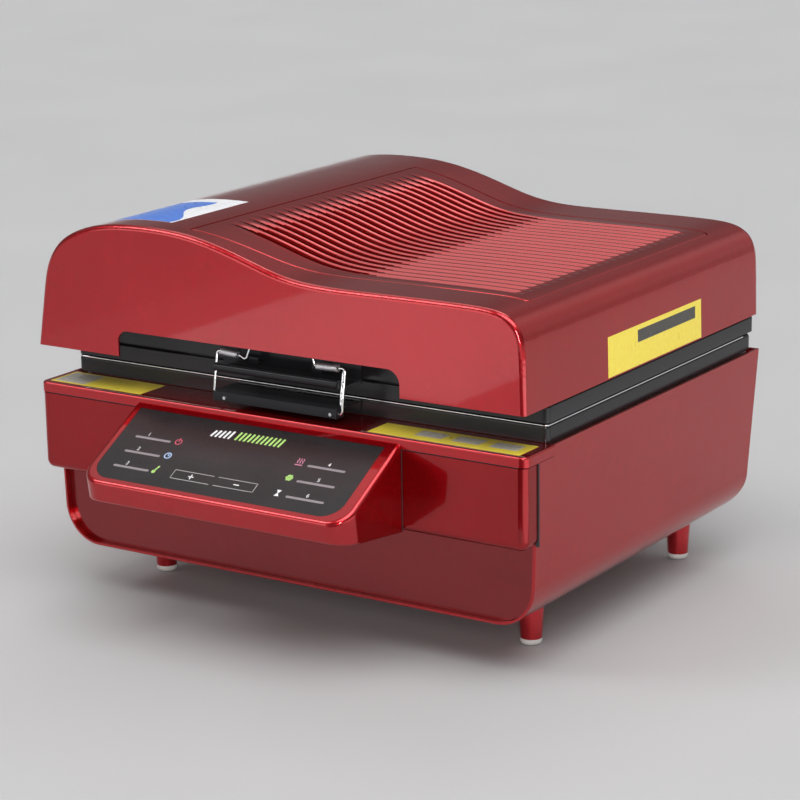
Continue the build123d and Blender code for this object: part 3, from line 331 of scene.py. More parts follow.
# black powder coat with a fine grain and slightly polished edges
k = Mat("black_paint")
k.set(spec=0.32)
grain = k.noise(1900, 3, 0.6)
soft = k.noise(26, 3, 0.5)
k.to("Base Color", k.mix(k.edge(0.52, 0.60), k.mix(k.remap(soft, 0.3, 0.7, 0, 1), (0.0065, 0.0063, 0.0070), (0.0095, 0.0090, 0.0100)), (0.022, 0.021, 0.023)))
k.to("Roughness", k.math("ADD", k.remap(soft, 0.3, 0.7, 0.18, 0.24), k.remap(grain, 0.3, 0.7, -0.03, 0.03)))
k.to("Normal", k.bump(grain, 0.10, 0.0002))
M["black_paint"] = k.m

# the same coat inside the hand opening, smoother, darker and with a weaker reflection: painted shade of the hand
# opening
k = Mat("black_paint_painted_shade")
k.set(spec=0.17)
grain = k.noise(1500, 3, 0.6)
soft = k.noise(22, 3, 0.5)
k.to("Base Color", k.mix(k.edge(0.52, 0.60), k.mix(k.remap(soft, 0.3, 0.7, 0, 1), (0.0035, 0.0035, 0.0042), (0.0055, 0.0055, 0.0065)), (0.016, 0.016, 0.018)))
k.to("Roughness", k.math("ADD", k.remap(soft, 0.3, 0.7, 0.15, 0.20), k.remap(grain, 0.3, 0.7, -0.02, 0.02)))
k.to("Normal", k.bump(grain, 0.05, 0.0002))
M["black_paint_painted_shade"] = k.m

# polycarbonate film of the control face, with a slow waviness
k = Mat("overlay_film")
k.set(spec=0.34, coat=0.12, coat_rough=0.12)
velvet = k.noise(2600, 2, 0.5)
wave = k.noise(21, 2, 0.5, vec=k.scaled(1, 1.6, 1.6))
k.to("Base Color", k.mix(k.remap(wave, 0.3, 0.7, 0, 1), (0.011, 0.0095, 0.0102), (0.017, 0.0150, 0.0160)))
k.to("Roughness", k.remap(velvet, 0.3, 0.7, 0.21, 0.29))
k.to("Normal", k.bump(velvet, 0.06, 0.0001, k.bump(wave, 0.35, 0.0016)))
M["overlay_film"] = k.m

# pale rubber of the foot pads
k = Mat("pale_rubber")
k.set(spec=0.35, sheen=0.15)
low = k.n("ShaderNodeSeparateXYZ")
k.link(k.obj, low.inputs[0])
mottle = k.noise(160, 4, 0.6)
# darker towards the bottom of the pads, mottled
darker_toward_floor = k.math("MULTIPLY", k.remap(low.outputs[2], 0.0, 0.004, 1.0, 0.0), k.remap(mottle, 0.35, 0.65, 0.3, 1.0))
k.to("Base Color", k.mix(darker_toward_floor, k.mix(mottle, (0.60, 0.57, 0.54), (0.72, 0.69, 0.66)), (0.30, 0.28, 0.26)))
k.to("Roughness", k.remap(mottle, 0.3, 0.7, 0.48, 0.62))
k.to("Normal", k.bump(k.noise(900, 3), 0.15, 0.0003))
M["pale_rubber"] = k.m


def rubber(name, dark, light, rough=0.5, sss=0.0, grain=700.0, strength=0.12):
    k = Mat(name)
    k.set(spec=0.4, sss=sss)
    mottle = k.noise(60, 4, 0.55)
    k.to("Base Color", k.mix(k.remap(mottle, 0.3, 0.7, 0, 1), dark, light))
    k.to("Roughness", k.remap(k.noise(240, 3), 0.3, 0.7, rough - 0.06, rough + 0.06))
    k.to("Normal", k.bump(k.noise(grain, 3), strength, 0.0003))
    M[name] = k.m
    return k


rubber("seal_silicone", (0.42, 0.05, 0.03), (0.52, 0.07, 0.04), 0.42, 0.05)
rubber("hose_rubber", (0.018, 0.018, 0.019), (0.028, 0.028, 0.030), 0.5)
rubber("black_plastic", (0.013, 0.013, 0.014), (0.022, 0.022, 0.023), 0.42, 0, 1500, 0.18)

# milky silicone membrane
k = Mat("film_silicone")
k.set(spec=0.5, sss=0.2, coat=0.2, coat_rough=0.2)
mottle = k.noise(14, 4, 0.55)
k.to("Base Color", k.mix(mottle, (0.62, 0.58, 0.54), (0.74, 0.71, 0.68)))
k.to("Roughness", k.remap(mottle, 0.3, 0.7, 0.30, 0.42))
k.to("Normal", k.bump(k.noise(700, 2), 0.05, 0.0002, k.bump(k.noise(11, 3), 0.5, 0.004)))
M["film_silicone"] = k.m

# zinc-plated steel with spangle
k = Mat("zinc_steel")
k.set(metal=1.0)
spangle = k.cells(130, out="Color")
sp = k.n("ShaderNodeSeparateColor")
k.link(spangle, sp.inputs[0])
k.to("Base Color", k.mix(k.remap(sp.outputs[0], 0, 1, 0, 1), (0.50, 0.51, 0.53), (0.68, 0.69, 0.71)))
k.to("Roughness", k.remap(sp.outputs[1], 0, 1, 0.26, 0.40))
k.to("Normal", k.bump(k.noise(500, 3), 0.06, 0.0002))
M["zinc_steel"] = k.m

# bright drawn wire
k = Mat("bright_wire")
k.set(metal=1.0)
draw = k.noise(900, 3, 0.6)
k.to("Base Color", k.mix(draw, (0.80, 0.80, 0.82), (0.93, 0.93, 0.94)))
k.to("Roughness", k.remap(draw, 0.3, 0.7, 0.12, 0.22))
k.to("Normal", k.bump(draw, 0.03, 0.0001))
M["bright_wire"] = k.m

k = Mat("spring_steel")
k.set(metal=1.0)
draw = k.noise(700, 3, 0.6)
k.to("Base Color", k.mix(draw, (0.62, 0.60, 0.62), (0.78, 0.76, 0.78)))
k.to("Roughness", k.remap(draw, 0.3, 0.7, 0.40, 0.50))
k.to("Normal", k.bump(draw, 0.05, 0.0001))
M["spring_steel"] = k.m


def brushed(name, dark, light, rough, along="x"):
    k = Mat(name)
    k.set(metal=1.0)
    sc = {"x": (18, 1800, 1800), "y": (1800, 18, 1800), "z": (1800, 1800, 18)}[along]
    line = k.noise(1, 3, 0.6, vec=k.scaled(*sc))
    stain = k.noise(13, 4, 0.6)
    k.to("Base Color", k.mix(k.remap(stain, 0.3, 0.7, 0, 1), dark, light))
    k.to("Roughness", k.math("ADD", k.remap(line, 0.3, 0.7, rough - 0.08, rough + 0.08), k.remap(stain, 0.3, 0.7, -0.03, 0.03)))
    k.to("Normal", k.bump(line, 0.06, 0.0002))
    M[name] = k.m
    return k


brushed("plain_aluminium", (0.62, 0.62, 0.63), (0.76, 0.76, 0.77), 0.36)
brushed("bright_aluminium", (0.80, 0.80, 0.81), (0.90, 0.90, 0.91), 0.16)
brushed("motor_steel", (0.42, 0.43, 0.44), (0.55, 0.56, 0.57), 0.38)
brushed("contact_brass", (0.62, 0.43, 0.16), (0.78, 0.57, 0.24), 0.28)

k = Mat("grey_cast")
k.set(metal=0.85)
pit = k.noise(420, 5, 0.65)
k.to("Base Color", k.mix(pit, (0.26, 0.27, 0.28), (0.42, 0.43, 0.44)))
k.to("Roughness", k.remap(pit, 0.3, 0.7, 0.45, 0.65))
k.to("Normal", k.bump(pit, 0.4, 0.0004))
M["grey_cast"] = k.m

# quartz glass of the heating tubes
k = Mat("quartz_tube")
k.set(trans=0.88, ior=1.46, spec=0.5)
frost = k.noise(60, 3, 0.5)
k.to("Base Color", k.mix(frost, (0.93, 0.90, 0.86), (0.98, 0.97, 0.95)))
k.to("Roughness", k.remap(frost, 0.3, 0.7, 0.05, 0.16))
k.to("Normal", k.bump(k.noise(300, 2), 0.05, 0.0002))
M["quartz_tube"] = k.m

k = Mat("heating_filament")
k.set(metal=1.0)
ox = k.noise(800, 3)
k.to("Base Color", k.mix(ox, (0.22, 0.16, 0.13), (0.38, 0.30, 0.26)))
k.to("Roughness", k.remap(ox, 0.3, 0.7, 0.35, 0.5))
M["heating_filament"] = k.m

k = Mat("white_ceramic")
k.set(spec=0.5, sss=0.05, coat=0.3, coat_rough=0.2)
pore = k.noise(500, 4)
k.to("Base Color", k.mix(pore, (0.74, 0.72, 0.68), (0.86, 0.84, 0.80)))
k.to("Roughness", k.remap(pore, 0.3, 0.7, 0.35, 0.5))
k.to("Normal", k.bump(pore, 0.1, 0.0003))
M["white_ceramic"] = k.m

k = Mat("mineral_fibre")
k.set(spec=0.1, sheen=0.4)
tuft = k.noise(220, 6, 0.7, 1.2)
k.to("Base Color", k.mix(tuft, (0.55, 0.50, 0.38), (0.80, 0.76, 0.64)))
k.to("Roughness", k.remap(tuft, 0.3, 0.7, 0.85, 0.98))
k.to("Normal", k.bump(tuft, 0.9, 0.0015))
M["mineral_fibre"] = k.m

# circuit board with traces and pads
k = Mat("board_green")
k.set(spec=0.5, coat=0.4, coat_rough=0.15)
trace = k.cells(160, feature="DISTANCE_TO_EDGE")
pads = k.cells(420, out="Distance", randomness=0.2)
green = k.mix(k.ramp(trace, [(0.0, 1.0), (0.06, 0.0)]), (0.010, 0.075, 0.030), (0.030, 0.16, 0.065))
k.to("Base Color", k.mix(k.ramp(pads, [(0.10, 1.0), (0.14, 0.0)]), green, (0.55, 0.50, 0.38)))
k.to("Roughness", k.remap(k.noise(300), 0.3, 0.7, 0.30, 0.42))
k.to("Normal", k.bump(trace, 0.2, 0.0003))
M["board_green"] = k.m


def vinyl(name, colour_a, colour_b, rough=0.32):
    """Printed vinyl with a faint print mottle and a soft film lustre."""
    k = Mat(name)
    k.set(spec=0.5, coat=0.35, coat_rough=0.12)
    mottle = k.noise(240, 3, 0.6)
    k.to("Base Color", k.mix(k.remap(mottle, 0.35, 0.65, 0, 1), colour_a, colour_b))
    k.to("Roughness", k.remap(k.noise(60, 2), 0.3, 0.7, rough - 0.05, rough + 0.05))
    k.to("Normal", k.bump(k.noise(35, 3), 0.10, 0.0006))
    M[name] = k.m
    return k


vinyl("vinyl_yellow", (0.84, 0.66, 0.045), (0.89, 0.72, 0.07))
vinyl("vinyl_dark", (0.030, 0.026, 0.020), (0.045, 0.040, 0.032))
vinyl("vinyl_grey", (0.50, 0.47, 0.40), (0.60, 0.57, 0.50))
vinyl("vinyl_white", (0.82, 0.83, 0.86), (0.90, 0.91, 0.93))
vinyl("vinyl_blue", (0.045, 0.16, 0.62), (0.07, 0.22, 0.72))


def ink(name, colour, rough=0.4):
    k = Mat(name)
    k.set(spec=0.4)
    dot = k.noise(1500, 2, 0.5)
    lo = tuple(c * 0.86 for c in colour)
    k.to("Base Color", k.mix(k.remap(dot, 0.3, 0.7, 0, 1), lo, colour))
    k.to("Roughness", k.remap(dot, 0.3, 0.7, rough - 0.05, rough + 0.05))
    M[name] = k.m


ink("ink_white", (0.78, 0.77, 0.78))
ink("ink_grey", (0.25, 0.22, 0.235))
ink("ink_line", (0.42, 0.40, 0.40))
ink("ink_red", (0.62, 0.09, 0.15))
ink("ink_blue", (0.42, 0.58, 0.86))
ink("ink_green", (0.38, 0.62, 0.17))
ink("ink_pink", (0.60, 0.22, 0.33))

for n, o in nodes.items():
    for s in o.material_slots:
        if s.material and s.material.name.split(".")[0] in M:
            s.material = M[s.material.name.split(".")[0]]


# the front box, the lower front panel and the feet get the painted shade and painted light copies of the red paint
# the handles and latch catches in the hand opening get the painted shade copy of the black coat
for n, paint in (("front_box", "candy_red_painted_shade_box"), ("lower_front_panel", "candy_red_painted_shade_recess"), ("feet", "candy_red_painted_light_feet"), ("lid_handle", "black_paint_painted_shade"), ("film_handle", "black_paint_painted_shade"), ("latch_catches", "black_paint_painted_shade")):
    for s in nodes[n].material_slots:
        s.material = M[paint]


# ------------------------------------------------------------------ mesh tools
def new_object(name, verts, faces, material, body, smooth=True):
    me = bpy.data.meshes.new(name)
    me.from_pydata([tuple(v) for v in verts], [], faces)
    me.materials.append(M[material])
    if smooth:
        me.polygons.foreach_set("use_smooth", [True] * len(me.polygons))
    me.validate()
    me.update()
    o = bpy.data.objects.new(name, me)
    scene.collection.objects.link(o)
    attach(o, body)
    return o


def smooth_by_angle(o, degrees):
    """Sharp edges where two faces meet at more than the angle, smooth elsewhere."""
    bm = bmesh.new()
    bm.from_mesh(o.data)
    for f in bm.faces:
        f.smooth = True
    for e in bm.edges:
        e.smooth = len(e.link_faces) != 2 or e.calc_face_angle(0) < math.radians(degrees)
    bm.to_mesh(o.data)
    bm.free()


def tube_geometry(path, radius, sides=14):
    """A closed round tube along a list of points, with a frame carried along it."""
    pts = [Vector(p) for p in path]
    n = len(pts)
    tang = [((pts[min(i + 1, n - 1)] - pts[max(i - 1, 0)])).normalized() for i in range(n)]
    ref = Vector((0, 0, 1)) if abs(tang[0].z) < 0.9 else Vector((1, 0, 0))
    u = tang[0].cross(ref).normalized()
    verts, faces = [], []
    for i in range(n):
        if i:
            q = tang[i - 1].rotation_difference(tang[i])
            u = (q @ u).normalized()
        v = tang[i].cross(u)
        for j in range(sides):
            a = 2 * math.pi * j / sides
            verts.append(pts[i] + (u * math.cos(a) + v * math.sin(a)) * radius)
    for i in range(n - 1):
        for j in range(sides):
            a, b = i * sides + j, i * sides + (j + 1) % sides
            faces.append((a, b, b + sides, a + sides))
    faces.append(tuple(reversed(range(sides))))
    faces.append(tuple((n - 1) * sides + j for j in range(sides)))
    return verts, faces


def tube(name, path, radius, material, body, sides=14):
    v, f = tube_geometry(path, radius, sides)
    o = new_object(name, v, f, material, body)
    smooth_by_angle(o, 50)
    return o


def rounded_path(points, radius, steps=8):
    """Straight runs joined by arcs of the given radius (or a list of radii)."""
    pts = [Vector(p) for p in points]
    out = [pts[0]]
    for i in range(1, len(pts) - 1):
        r = radius[i - 1] if isinstance(radius, (list, tuple)) else radius
        a, b = (pts[i - 1] - pts[i]).normalized(), (pts[i + 1] - pts[i]).normalized()
        ang = a.angle(b)
        cut = min(r / math.tan(ang / 2), 0.48 * (pts[i - 1] - pts[i]).length, 0.48 * (pts[i + 1] - pts[i]).length)
        rr = cut * math.tan(ang / 2)
        bis = (a + b).normalized()
        centre = pts[i] + bis * (rr / math.sin(ang / 2))
        s, e = pts[i] + a * cut - centre, pts[i] + b * cut - centre
        for kk in range(steps + 1):
            out.append(centre + s.slerp(e, kk / steps))
    out.append(pts[-1])
    return out


def surface_of(node):
    o = nodes[node]
    return BVHTree.FromPolygons([v.co.copy() for v in o.data.vertices], [tuple(p.vertices) for p in o.data.polygons])


def slab(name, grid, normal_of, low, high, material, body):
    """A thin closed film over a grid of points (rows of equal length), lifted off the surface by low and high."""
    rows, cols = len(grid), len(grid[0])
    verts, faces = [], []
    for lift in (high, low):
        for i in range(rows):
            for j in range(cols):
                verts.append(grid[i][j] + normal_of(i, j) * lift)
    k0 = rows * cols
    for i in range(rows - 1):
        for j in range(cols - 1):
            a = i * cols + j
            faces.append((a, a + 1, a + cols + 1, a + cols))
            faces.append((k0 + a, k0 + a + cols, k0 + a + cols + 1, k0 + a + 1))
    ring = [j for j in range(cols)] + [i * cols + cols - 1 for i in range(1, rows)] + \
           [(rows - 1) * cols + j for j in range(cols - 2, -1, -1)] + [i * cols for i in range(rows - 2, 0, -1)]
    for a, b in zip(ring, ring[1:] + ring[:1]):
        faces.append((a, k0 + a, k0 + b, b))
    o = new_object(name, verts, faces, material, body)
    bm = bmesh.new()
    bm.from_mesh(o.data)
    bmesh.ops.recalc_face_normals(bm, faces=bm.faces)
    bm.to_mesh(o.data)
    bm.free()
    smooth_by_angle(o, 40)
    return o


# ------------------------------------------------------------------ lid profile
LID = np.array([(-252.5, 283), (-248.2, 306), (-241.5, 323), (-230, 337), (-213, 347.5), (-192, 354.6), (-165, 358.8),
                (-132, 360), (-104, 359), (-78, 355.8), (-50, 349.6), (-24, 342), (0, 334.6), (22, 329.4), (44, 326.7),
                (72, 325.7), (112, 325.9), (160, 326.2), (204, 326), (226, 324.6), (240, 321), (250, 313.8),
                (255.6, 303), (257.6, 289), (258.2, 272)], float)


def cubic(t, y):
    """Second derivatives of the natural cubic through (t, y)."""
    n = len(t)
    h = np.diff(t)
    A = np.zeros((n, n))
    r = np.zeros(n)
    A[0, 0] = A[-1, -1] = 1
    for i in range(1, n - 1):
        A[i, i - 1], A[i, i], A[i, i + 1] = h[i - 1], 2 * (h[i - 1] + h[i]), h[i]
        r[i] = 6 * ((y[i + 1] - y[i]) / h[i] - (y[i] - y[i - 1]) / h[i - 1])
    return np.linalg.solve(A, r)


def cubic_at(t, y, m, s):
    i = np.clip(np.searchsorted(t, s) - 1, 0, len(t) - 2)
    h = t[i + 1] - t[i]
    a, b = (t[i + 1] - s) / h, (s - t[i]) / h
    return a * y[i] + b * y[i + 1] + ((a ** 3 - a) * m[i] + (b ** 3 - b) * m[i + 1]) * h * h / 6


_t = np.concatenate([[0], np.cumsum(np.hypot(*np.diff(LID, axis=0).T))])
_mx, _mz = cubic(_t, LID[:, 0]), cubic(_t, LID[:, 1])
_s = np.linspace(0, _t[-1], 6000)
_px, _pz = cubic_at(_t, LID[:, 0], _mx, _s), cubic_at(_t, LID[:, 1], _mz, _s)


def lid_z(x):
    return np.interp(x, _px, _pz)


# ------------------------------------------------------------------ ribbed panel
def build_vent_panel():
    front = np.array([(-95.0, 20.0), (-45.0, 26.0), (0.0, 32.5), (57.0, 43.5), (110.0, 46.6), (235.0, 48.0)])
    ft = np.concatenate([[0], np.cumsum(np.hypot(*np.diff(front, axis=0).T))])
    fx, fy = cubic(ft, front[:, 0]), cubic(ft, front[:, 1])
    ss = np.linspace(0, ft[-1], 2000)
    fpx, fpy = cubic_at(ft, front[:, 0], fx, ss), cubic_at(ft, front[:, 1], fy, ss)
    gap = 0.85
    x0, x1 = -95 + gap, 235 - gap
    rib0, rib1, count = 60.0, 365.0, 24
    pitch = (rib1 - rib0) / (count - 1)
    end_l, end_r = -91.0, 222.0
    xs = [x0]
    x = x0
    while x < x1 - 0.4:
        near = min(abs(x - x0), abs(x - x1))
        step = 0.35 if near < 1.6 else 0.8 if x > x1 - 6.2 else 2.0 if x < 62 else 1.4 if x > end_r - 16 else 3.3
        x = min(x + step, x1)
        xs.append(x)
    if x1 - xs[-1] > 1e-6:
        xs.append(x1)
    xs = np.array(xs)
    rim_r = 1.3

    rows = []
    per = 12
    y_list = []
    for i in range((count - 1) * per + 1):
        y_list.append(rib0 + pitch * i / per)
    y_mid = np.array(y_list)
    n_front, n_rear = 14, 10
    base = []
    for x in xs:
        turn_in = 5.2 - math.sqrt(max(5.2 ** 2 - max(x - (x1 - 5.2), 0.0) ** 2, 0.0))
        yf = float(np.interp(x, fpx, fpy)) + gap + turn_in
        yr = float(np.interp(x, [-95, 235], [388, 380])) - gap - turn_in
        f0 = np.array([0, 0.25, 0.55, 0.9, 1.35])
        yy_f = np.concatenate([yf + f0, np.linspace(yf + 2.2, rib0 - 0.9, n_front)])
        yy_r = np.concatenate([np.linspace(rib1 + 0.9, yr - 2.2, n_rear), yr - f0[::-1]])
        base.append(np.concatenate([yy_f, y_mid, yy_r]))
    Y = np.array(base)
    X = np.repeat(xs[:, None], Y.shape[1], axis=1)

    def sstep(v):
        v = np.clip(v, 0, 1)
        return v * v * (3 - 2 * v)

    fade = sstep((X - end_l) / 46.0) * sstep((end_r - X) / 14.0)
    t = (Y - rib0) / pitch
    inside = (Y >= rib0) & (Y <= rib1)
    # section of a flute: one smooth wave per pitch
    trough = np.where(inside, (1 - np.cos(2 * math.pi * t)) / 2, 0.0)
    ridge_out = np.where(inside, 1.0, np.exp(-(np.minimum(np.abs(Y - rib0), np.abs(Y - rib1)) / 2.4) ** 2))
    H = fade * (0.25 * ridge_out - 1.9 * trough)
    # rounded rim where the panel meets its seam
    YF, YR = Y[:, :1], Y[:, -1:]
    d = np.minimum(np.minimum(X - x0, x1 - X), np.minimum(Y - YF, YR - Y))
    dd = np.clip(rim_r - d, 0, rim_r)
    H = H - (rim_r - np.sqrt(np.maximum(rim_r ** 2 - dd ** 2, 0)))
    Z = lid_z(X) + H
    nx, ny = X.shape
    top = [P(X[i, j], Y[i, j], Z[i, j]) for i in range(nx) for j in range(ny)]
    under = [P(X[i, j], Y[i, j], Z[i, j] - (3.4 if i in (0, nx - 1) or j in (0, ny - 1) else 1.7)) for i in range(nx) for j in range(ny)]
    faces = []
    off = nx * ny
    for i in range(nx - 1):
        for j in range(ny - 1):
            a = i * ny + j
            faces.append((a, a + ny, a + ny + 1, a + 1))
            faces.append((off + a, off + a + 1, off + a + ny + 1, off + a + ny))
    ring = [j for j in range(ny)] + [i * ny + ny - 1 for i in range(1, nx)] + \
           [(nx - 1) * ny + j for j in range(ny - 2, -1, -1)] + [i * ny for i in range(nx - 2, 0, -1)]
    for a, b in zip(ring, ring[1:] + ring[:1]):
        faces.append((b, off + b, off + a, a))
    o = new_object("vent_panel_ribbed", top + under, faces, "red_panel_paint", "lid")
    bm = bmesh.new()
    bm.from_mesh(o.data)
    bmesh.ops.recalc_face_normals(bm, faces=bm.faces)
    bm.to_mesh(o.data)
    bm.free()
    # painted reflection: a darker red on the flute floors of the slope stands in for the dark reflections there; it is
    # fixed to the surface and stays in every view
    o.data.materials.append(bpy.data.materials["candy_red_painted_reflection_flute"])
    for f in o.data.polygons:
        cx, cy = f.center.x * 1000, f.center.y * 1000 + 185
        if f.normal.z < 0.2 or not rib0 < cy < rib1:
            continue
        wide = 0.80 * min(max((cx + 84) / 34, 0), 1) * min(max((98 - cx) / 46, 0), 1)
        u = (cy - rib0) / pitch
        if abs((u - 0.39 + 0.5) % 1 - 0.5) < wide / 2:
            f.material_index = 1
    smooth_by_angle(o, 60)
    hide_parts("vent_panel")
    return o


build_vent_panel()


# ------------------------------------------------------------------ latch springs and second strand
def coil(name, a, b, radius, wire, body, node, turns):
    """A close-wound coil spring between two points."""
    a, b = Vector(a), Vector(b)
    axis = (b - a)
    length = axis.length
    axis.normalize()
    u = axis.cross(Vector((0, 0, 1))).normalized()
    v = axis.cross(u)
    pts = []
    steps = turns * 22
    for i in range(steps + 1):
        s = i / steps
        ang = 2 * math.pi * turns * s
        pts.append(a + axis * (wire + (length - 2 * wire) * s) + (u * math.cos(ang) + v * math.sin(ang)) * (radius - wire))
    o = tube(name, pts, wire, "spring_steel", body, 10)
    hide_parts(node)
    return o


coil("latch_coil_right", P(62.0, 20.2, 251.2), P(38.6, 20.2, 250.3), 0.00375, 0.00062, "latch_right", "latch_spring_right", 18)
coil("latch_coil_left", P(-65.0, 20.2, 251.2), P(-45.4, 20.2, 249.8), 0.00375, 0.00062, "latch_left", "latch_spring_left", 15)


# the doubled strand beside the right latch's upright
tube("latch_strand_right", [P(68.0, 14.6, 219.0), P(67.2, 14.7, 219.7), P(66.6, 14.8, 220.6), P(66.38, 15.0, 222.0), P(66.35, 15.6, 227.0), P(66.35, 17.5, 237.0),
                            P(66.35, 19.2, 246.0), P(66.5, 19.5, 247.4), P(67.1, 19.7, 248.6), P(68.0, 19.9, 249.5)], 0.0008, "bright_wire", "latch_right", 12)


# ------------------------------------------------------------------ dark strips in the seams as painted shade of the gaps, bead of the film frame
def strip(name, boxes, material, body):
    """Plain strips with small bevels, one closed box per entry (x0, x1, y0, y1, z0, z1 in millimetres)."""
    verts, faces = [], []
    for x0, x1, y0, y1, z0, z1 in boxes:
        k0 = len(verts)
        verts += [P(x, y, z) for z in (z0, z1) for y in (y0, y1) for x in (x0, x1)]
        faces += [tuple(k0 + i for i in f) for f in ((0, 2, 3, 1), (4, 5, 7, 6), (0, 1, 5, 4), (2, 6, 7, 3), (0, 4, 6, 2), (1, 3, 7, 5))]
    o = new_object(name, verts, faces, material, body, smooth=False)
    bev = o.modifiers.new("edge", "BEVEL")
    bev.width = 0.00012
    bev.segments = 2
    return o


# painted shade: dark strips fill the seams beside the front box, under the shelf cap and along the console's sides,
# standing in for the shade in the gaps
strip("seam_painted_shade_box", [(256.6, 260.12, 20.5, 22.2, 121.5, 193.3), (-260.12, -256.6, 20.5, 22.2, 121.5, 193.3)], "hose_rubber", "base")
strip("seam_painted_shade_cap", [(-252.0, 252.0, 0.6, 2.2, 193.42, 194.28), (-258.4, -256.7, 8.0, 47.6, 193.42, 194.28), (256.7, 258.4, 8.0, 47.6, 193.42, 194.28)], "hose_rubber", "base")
strip("console_seam_painted_shade", [(138.05, 138.6, -0.5, 0.05, 121.0, 193.0), (-146.6, -146.05, -0.5, 0.05, 121.0, 193.0)], "hose_rubber", "base")
f_lo, f_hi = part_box("film_frame")
fx, fy, fz, fr = f_hi[0] - 0.001, f_lo[1] + 0.001, f_hi[2] - 0.001, 0.004
trim = [Vector((-fx, y, fz)) for y in np.linspace(fy + 0.37, fy + 0.006, 12)]
trim += [Vector((-fx + fr * (1 - math.cos(a)), fy + fr * (1 - math.sin(a)), fz)) for a in np.linspace(0, math.pi / 2, 7)]
trim += [Vector((x, fy, fz)) for x in np.linspace(-fx + 0.006, fx - 0.006, 24)]
trim += [Vector((fx - fr * (1 - math.sin(a)), fy + fr * (1 - math.cos(a)), fz)) for a in np.linspace(0, math.pi / 2, 7)]
trim += [Vector((fx, y, fz)) for y in np.linspace(fy + 0.006, fy + 0.37, 12)]
tube("film_frame_trim", trim, 0.0007, "bright_aluminium", "film_frame", 12)


# ------------------------------------------------------------------ coloured stickers
def sticker_on(name, node, point_at, direction, nu, nv, material, body, low=0.00002, high=0.00016, keep=None):
    """A vinyl film laid on a node: a grid of rays is cast on it, and the film follows what they hit."""
    tree = surface_of(node)
    grid, normals = [], []
    for i in range(nu + 1):
        row, nrow = [], []
        for j in range(nv + 1):
            o = point_at(i / nu, j / nv)
            hit, nor, _, _ = tree.ray_cast(o, direction)
            if hit is None:
                raise RuntimeError(name + " misses " + node)
            if nor.dot(direction) > 0:
                nor = -nor
            row.append(hit)
            nrow.append(nor)
        grid.append(row)
        normals.append(nrow)
    return slab(name, grid, lambda i, j: normals[i][j], low, high, material, body)


def lerp(a, b, t):
    return a + (b - a) * t


# right side of the lid
side = sticker_on("sticker_side", "lid_shell", lambda s, t: P(300, lerp(142, 318, s), lerp(239.9, 276, t)), Vector((-1, 0, 0)), 22, 6, "vinyl_yellow", "lid")
sticker_on("sticker_side_bar", "lid_shell", lambda s, t: P(300, lerp(196, 306, s), lerp(260.5, 271.5, t)), Vector((-1, 0, 0)), 14, 2, "vinyl_dark", "lid", 0.00016, 0.00022)
# left end of the shelf
sticker_on("sticker_shelf_left", "shelf_cap", lambda s, t: P(lerp(-253, -148, s), lerp(7, 44, t), 260), Vector((0, 0, -1)), 12, 4, "vinyl_yellow", "base")
sticker_on("sticker_shelf_left_patch", "shelf_cap", lambda s, t: P(lerp(-250, -216, s), lerp(10, 41, t), 260), Vector((0, 0, -1)), 3, 3, "vinyl_grey", "base", 0.00016, 0.00021)
# right end of the shelf
sticker_on("sticker_shelf_right", "shelf_cap", lambda s, t: P(lerp(100, 251, s), lerp(5, 37, t), 260), Vector((0, 0, -1)), 16, 4, "vinyl_yellow", "base")
for i, (a, b) in enumerate(((141, 168), (178, 205), (215, 242))):
    sticker_on(f"sticker_shelf_right_patch_{i + 1}", "shelf_cap", lambda s, t: P(lerp(a, b, s), lerp(15, 31, t), 260), Vector((0, 0, -1)), 3, 3, "vinyl_grey", "base", 0.00016, 0.00021)
# top left of the lid: white field with a blue wave along the front left
sticker_on("sticker_top_white", "lid_shell", lambda s, t: P(lerp(-188, -122, s), lerp(30, 145, t), 400), Vector((0, 0, -1)), 20, 24, "vinyl_white", "lid", 0.0, 0.00009)
sticker_on("sticker_top_blue", "lid_shell", lambda s, t: P(lerp(-188, lerp(-128, -152, t) + 7 * math.sin(7.5 * t + 0.4), s), lerp(30, 128, t), 400), Vector((0, 0, -1)), 16, 30, "vinyl_blue", "lid", 0.00008, 0.00015)

# ------------------------------------------------------------------ marks on the control face
C_O = P(-6, -44, 174)
C_U, C_V, C_N = Vector((1, 0, 0)), Vector((0, 0.8695, 0.494)), Vector((0, -0.494, 0.8695))
_top_of_film = max((nodes["control_overlay"].data.vertices[i].co - C_O).dot(C_N) for i in range(len(nodes["control_overlay"].data.vertices)))


def on_face(u, v, lift=0.0):
    return C_O + C_U * (u / 1000) + C_V * (v / 1000) + C_N * (_top_of_film + lift)


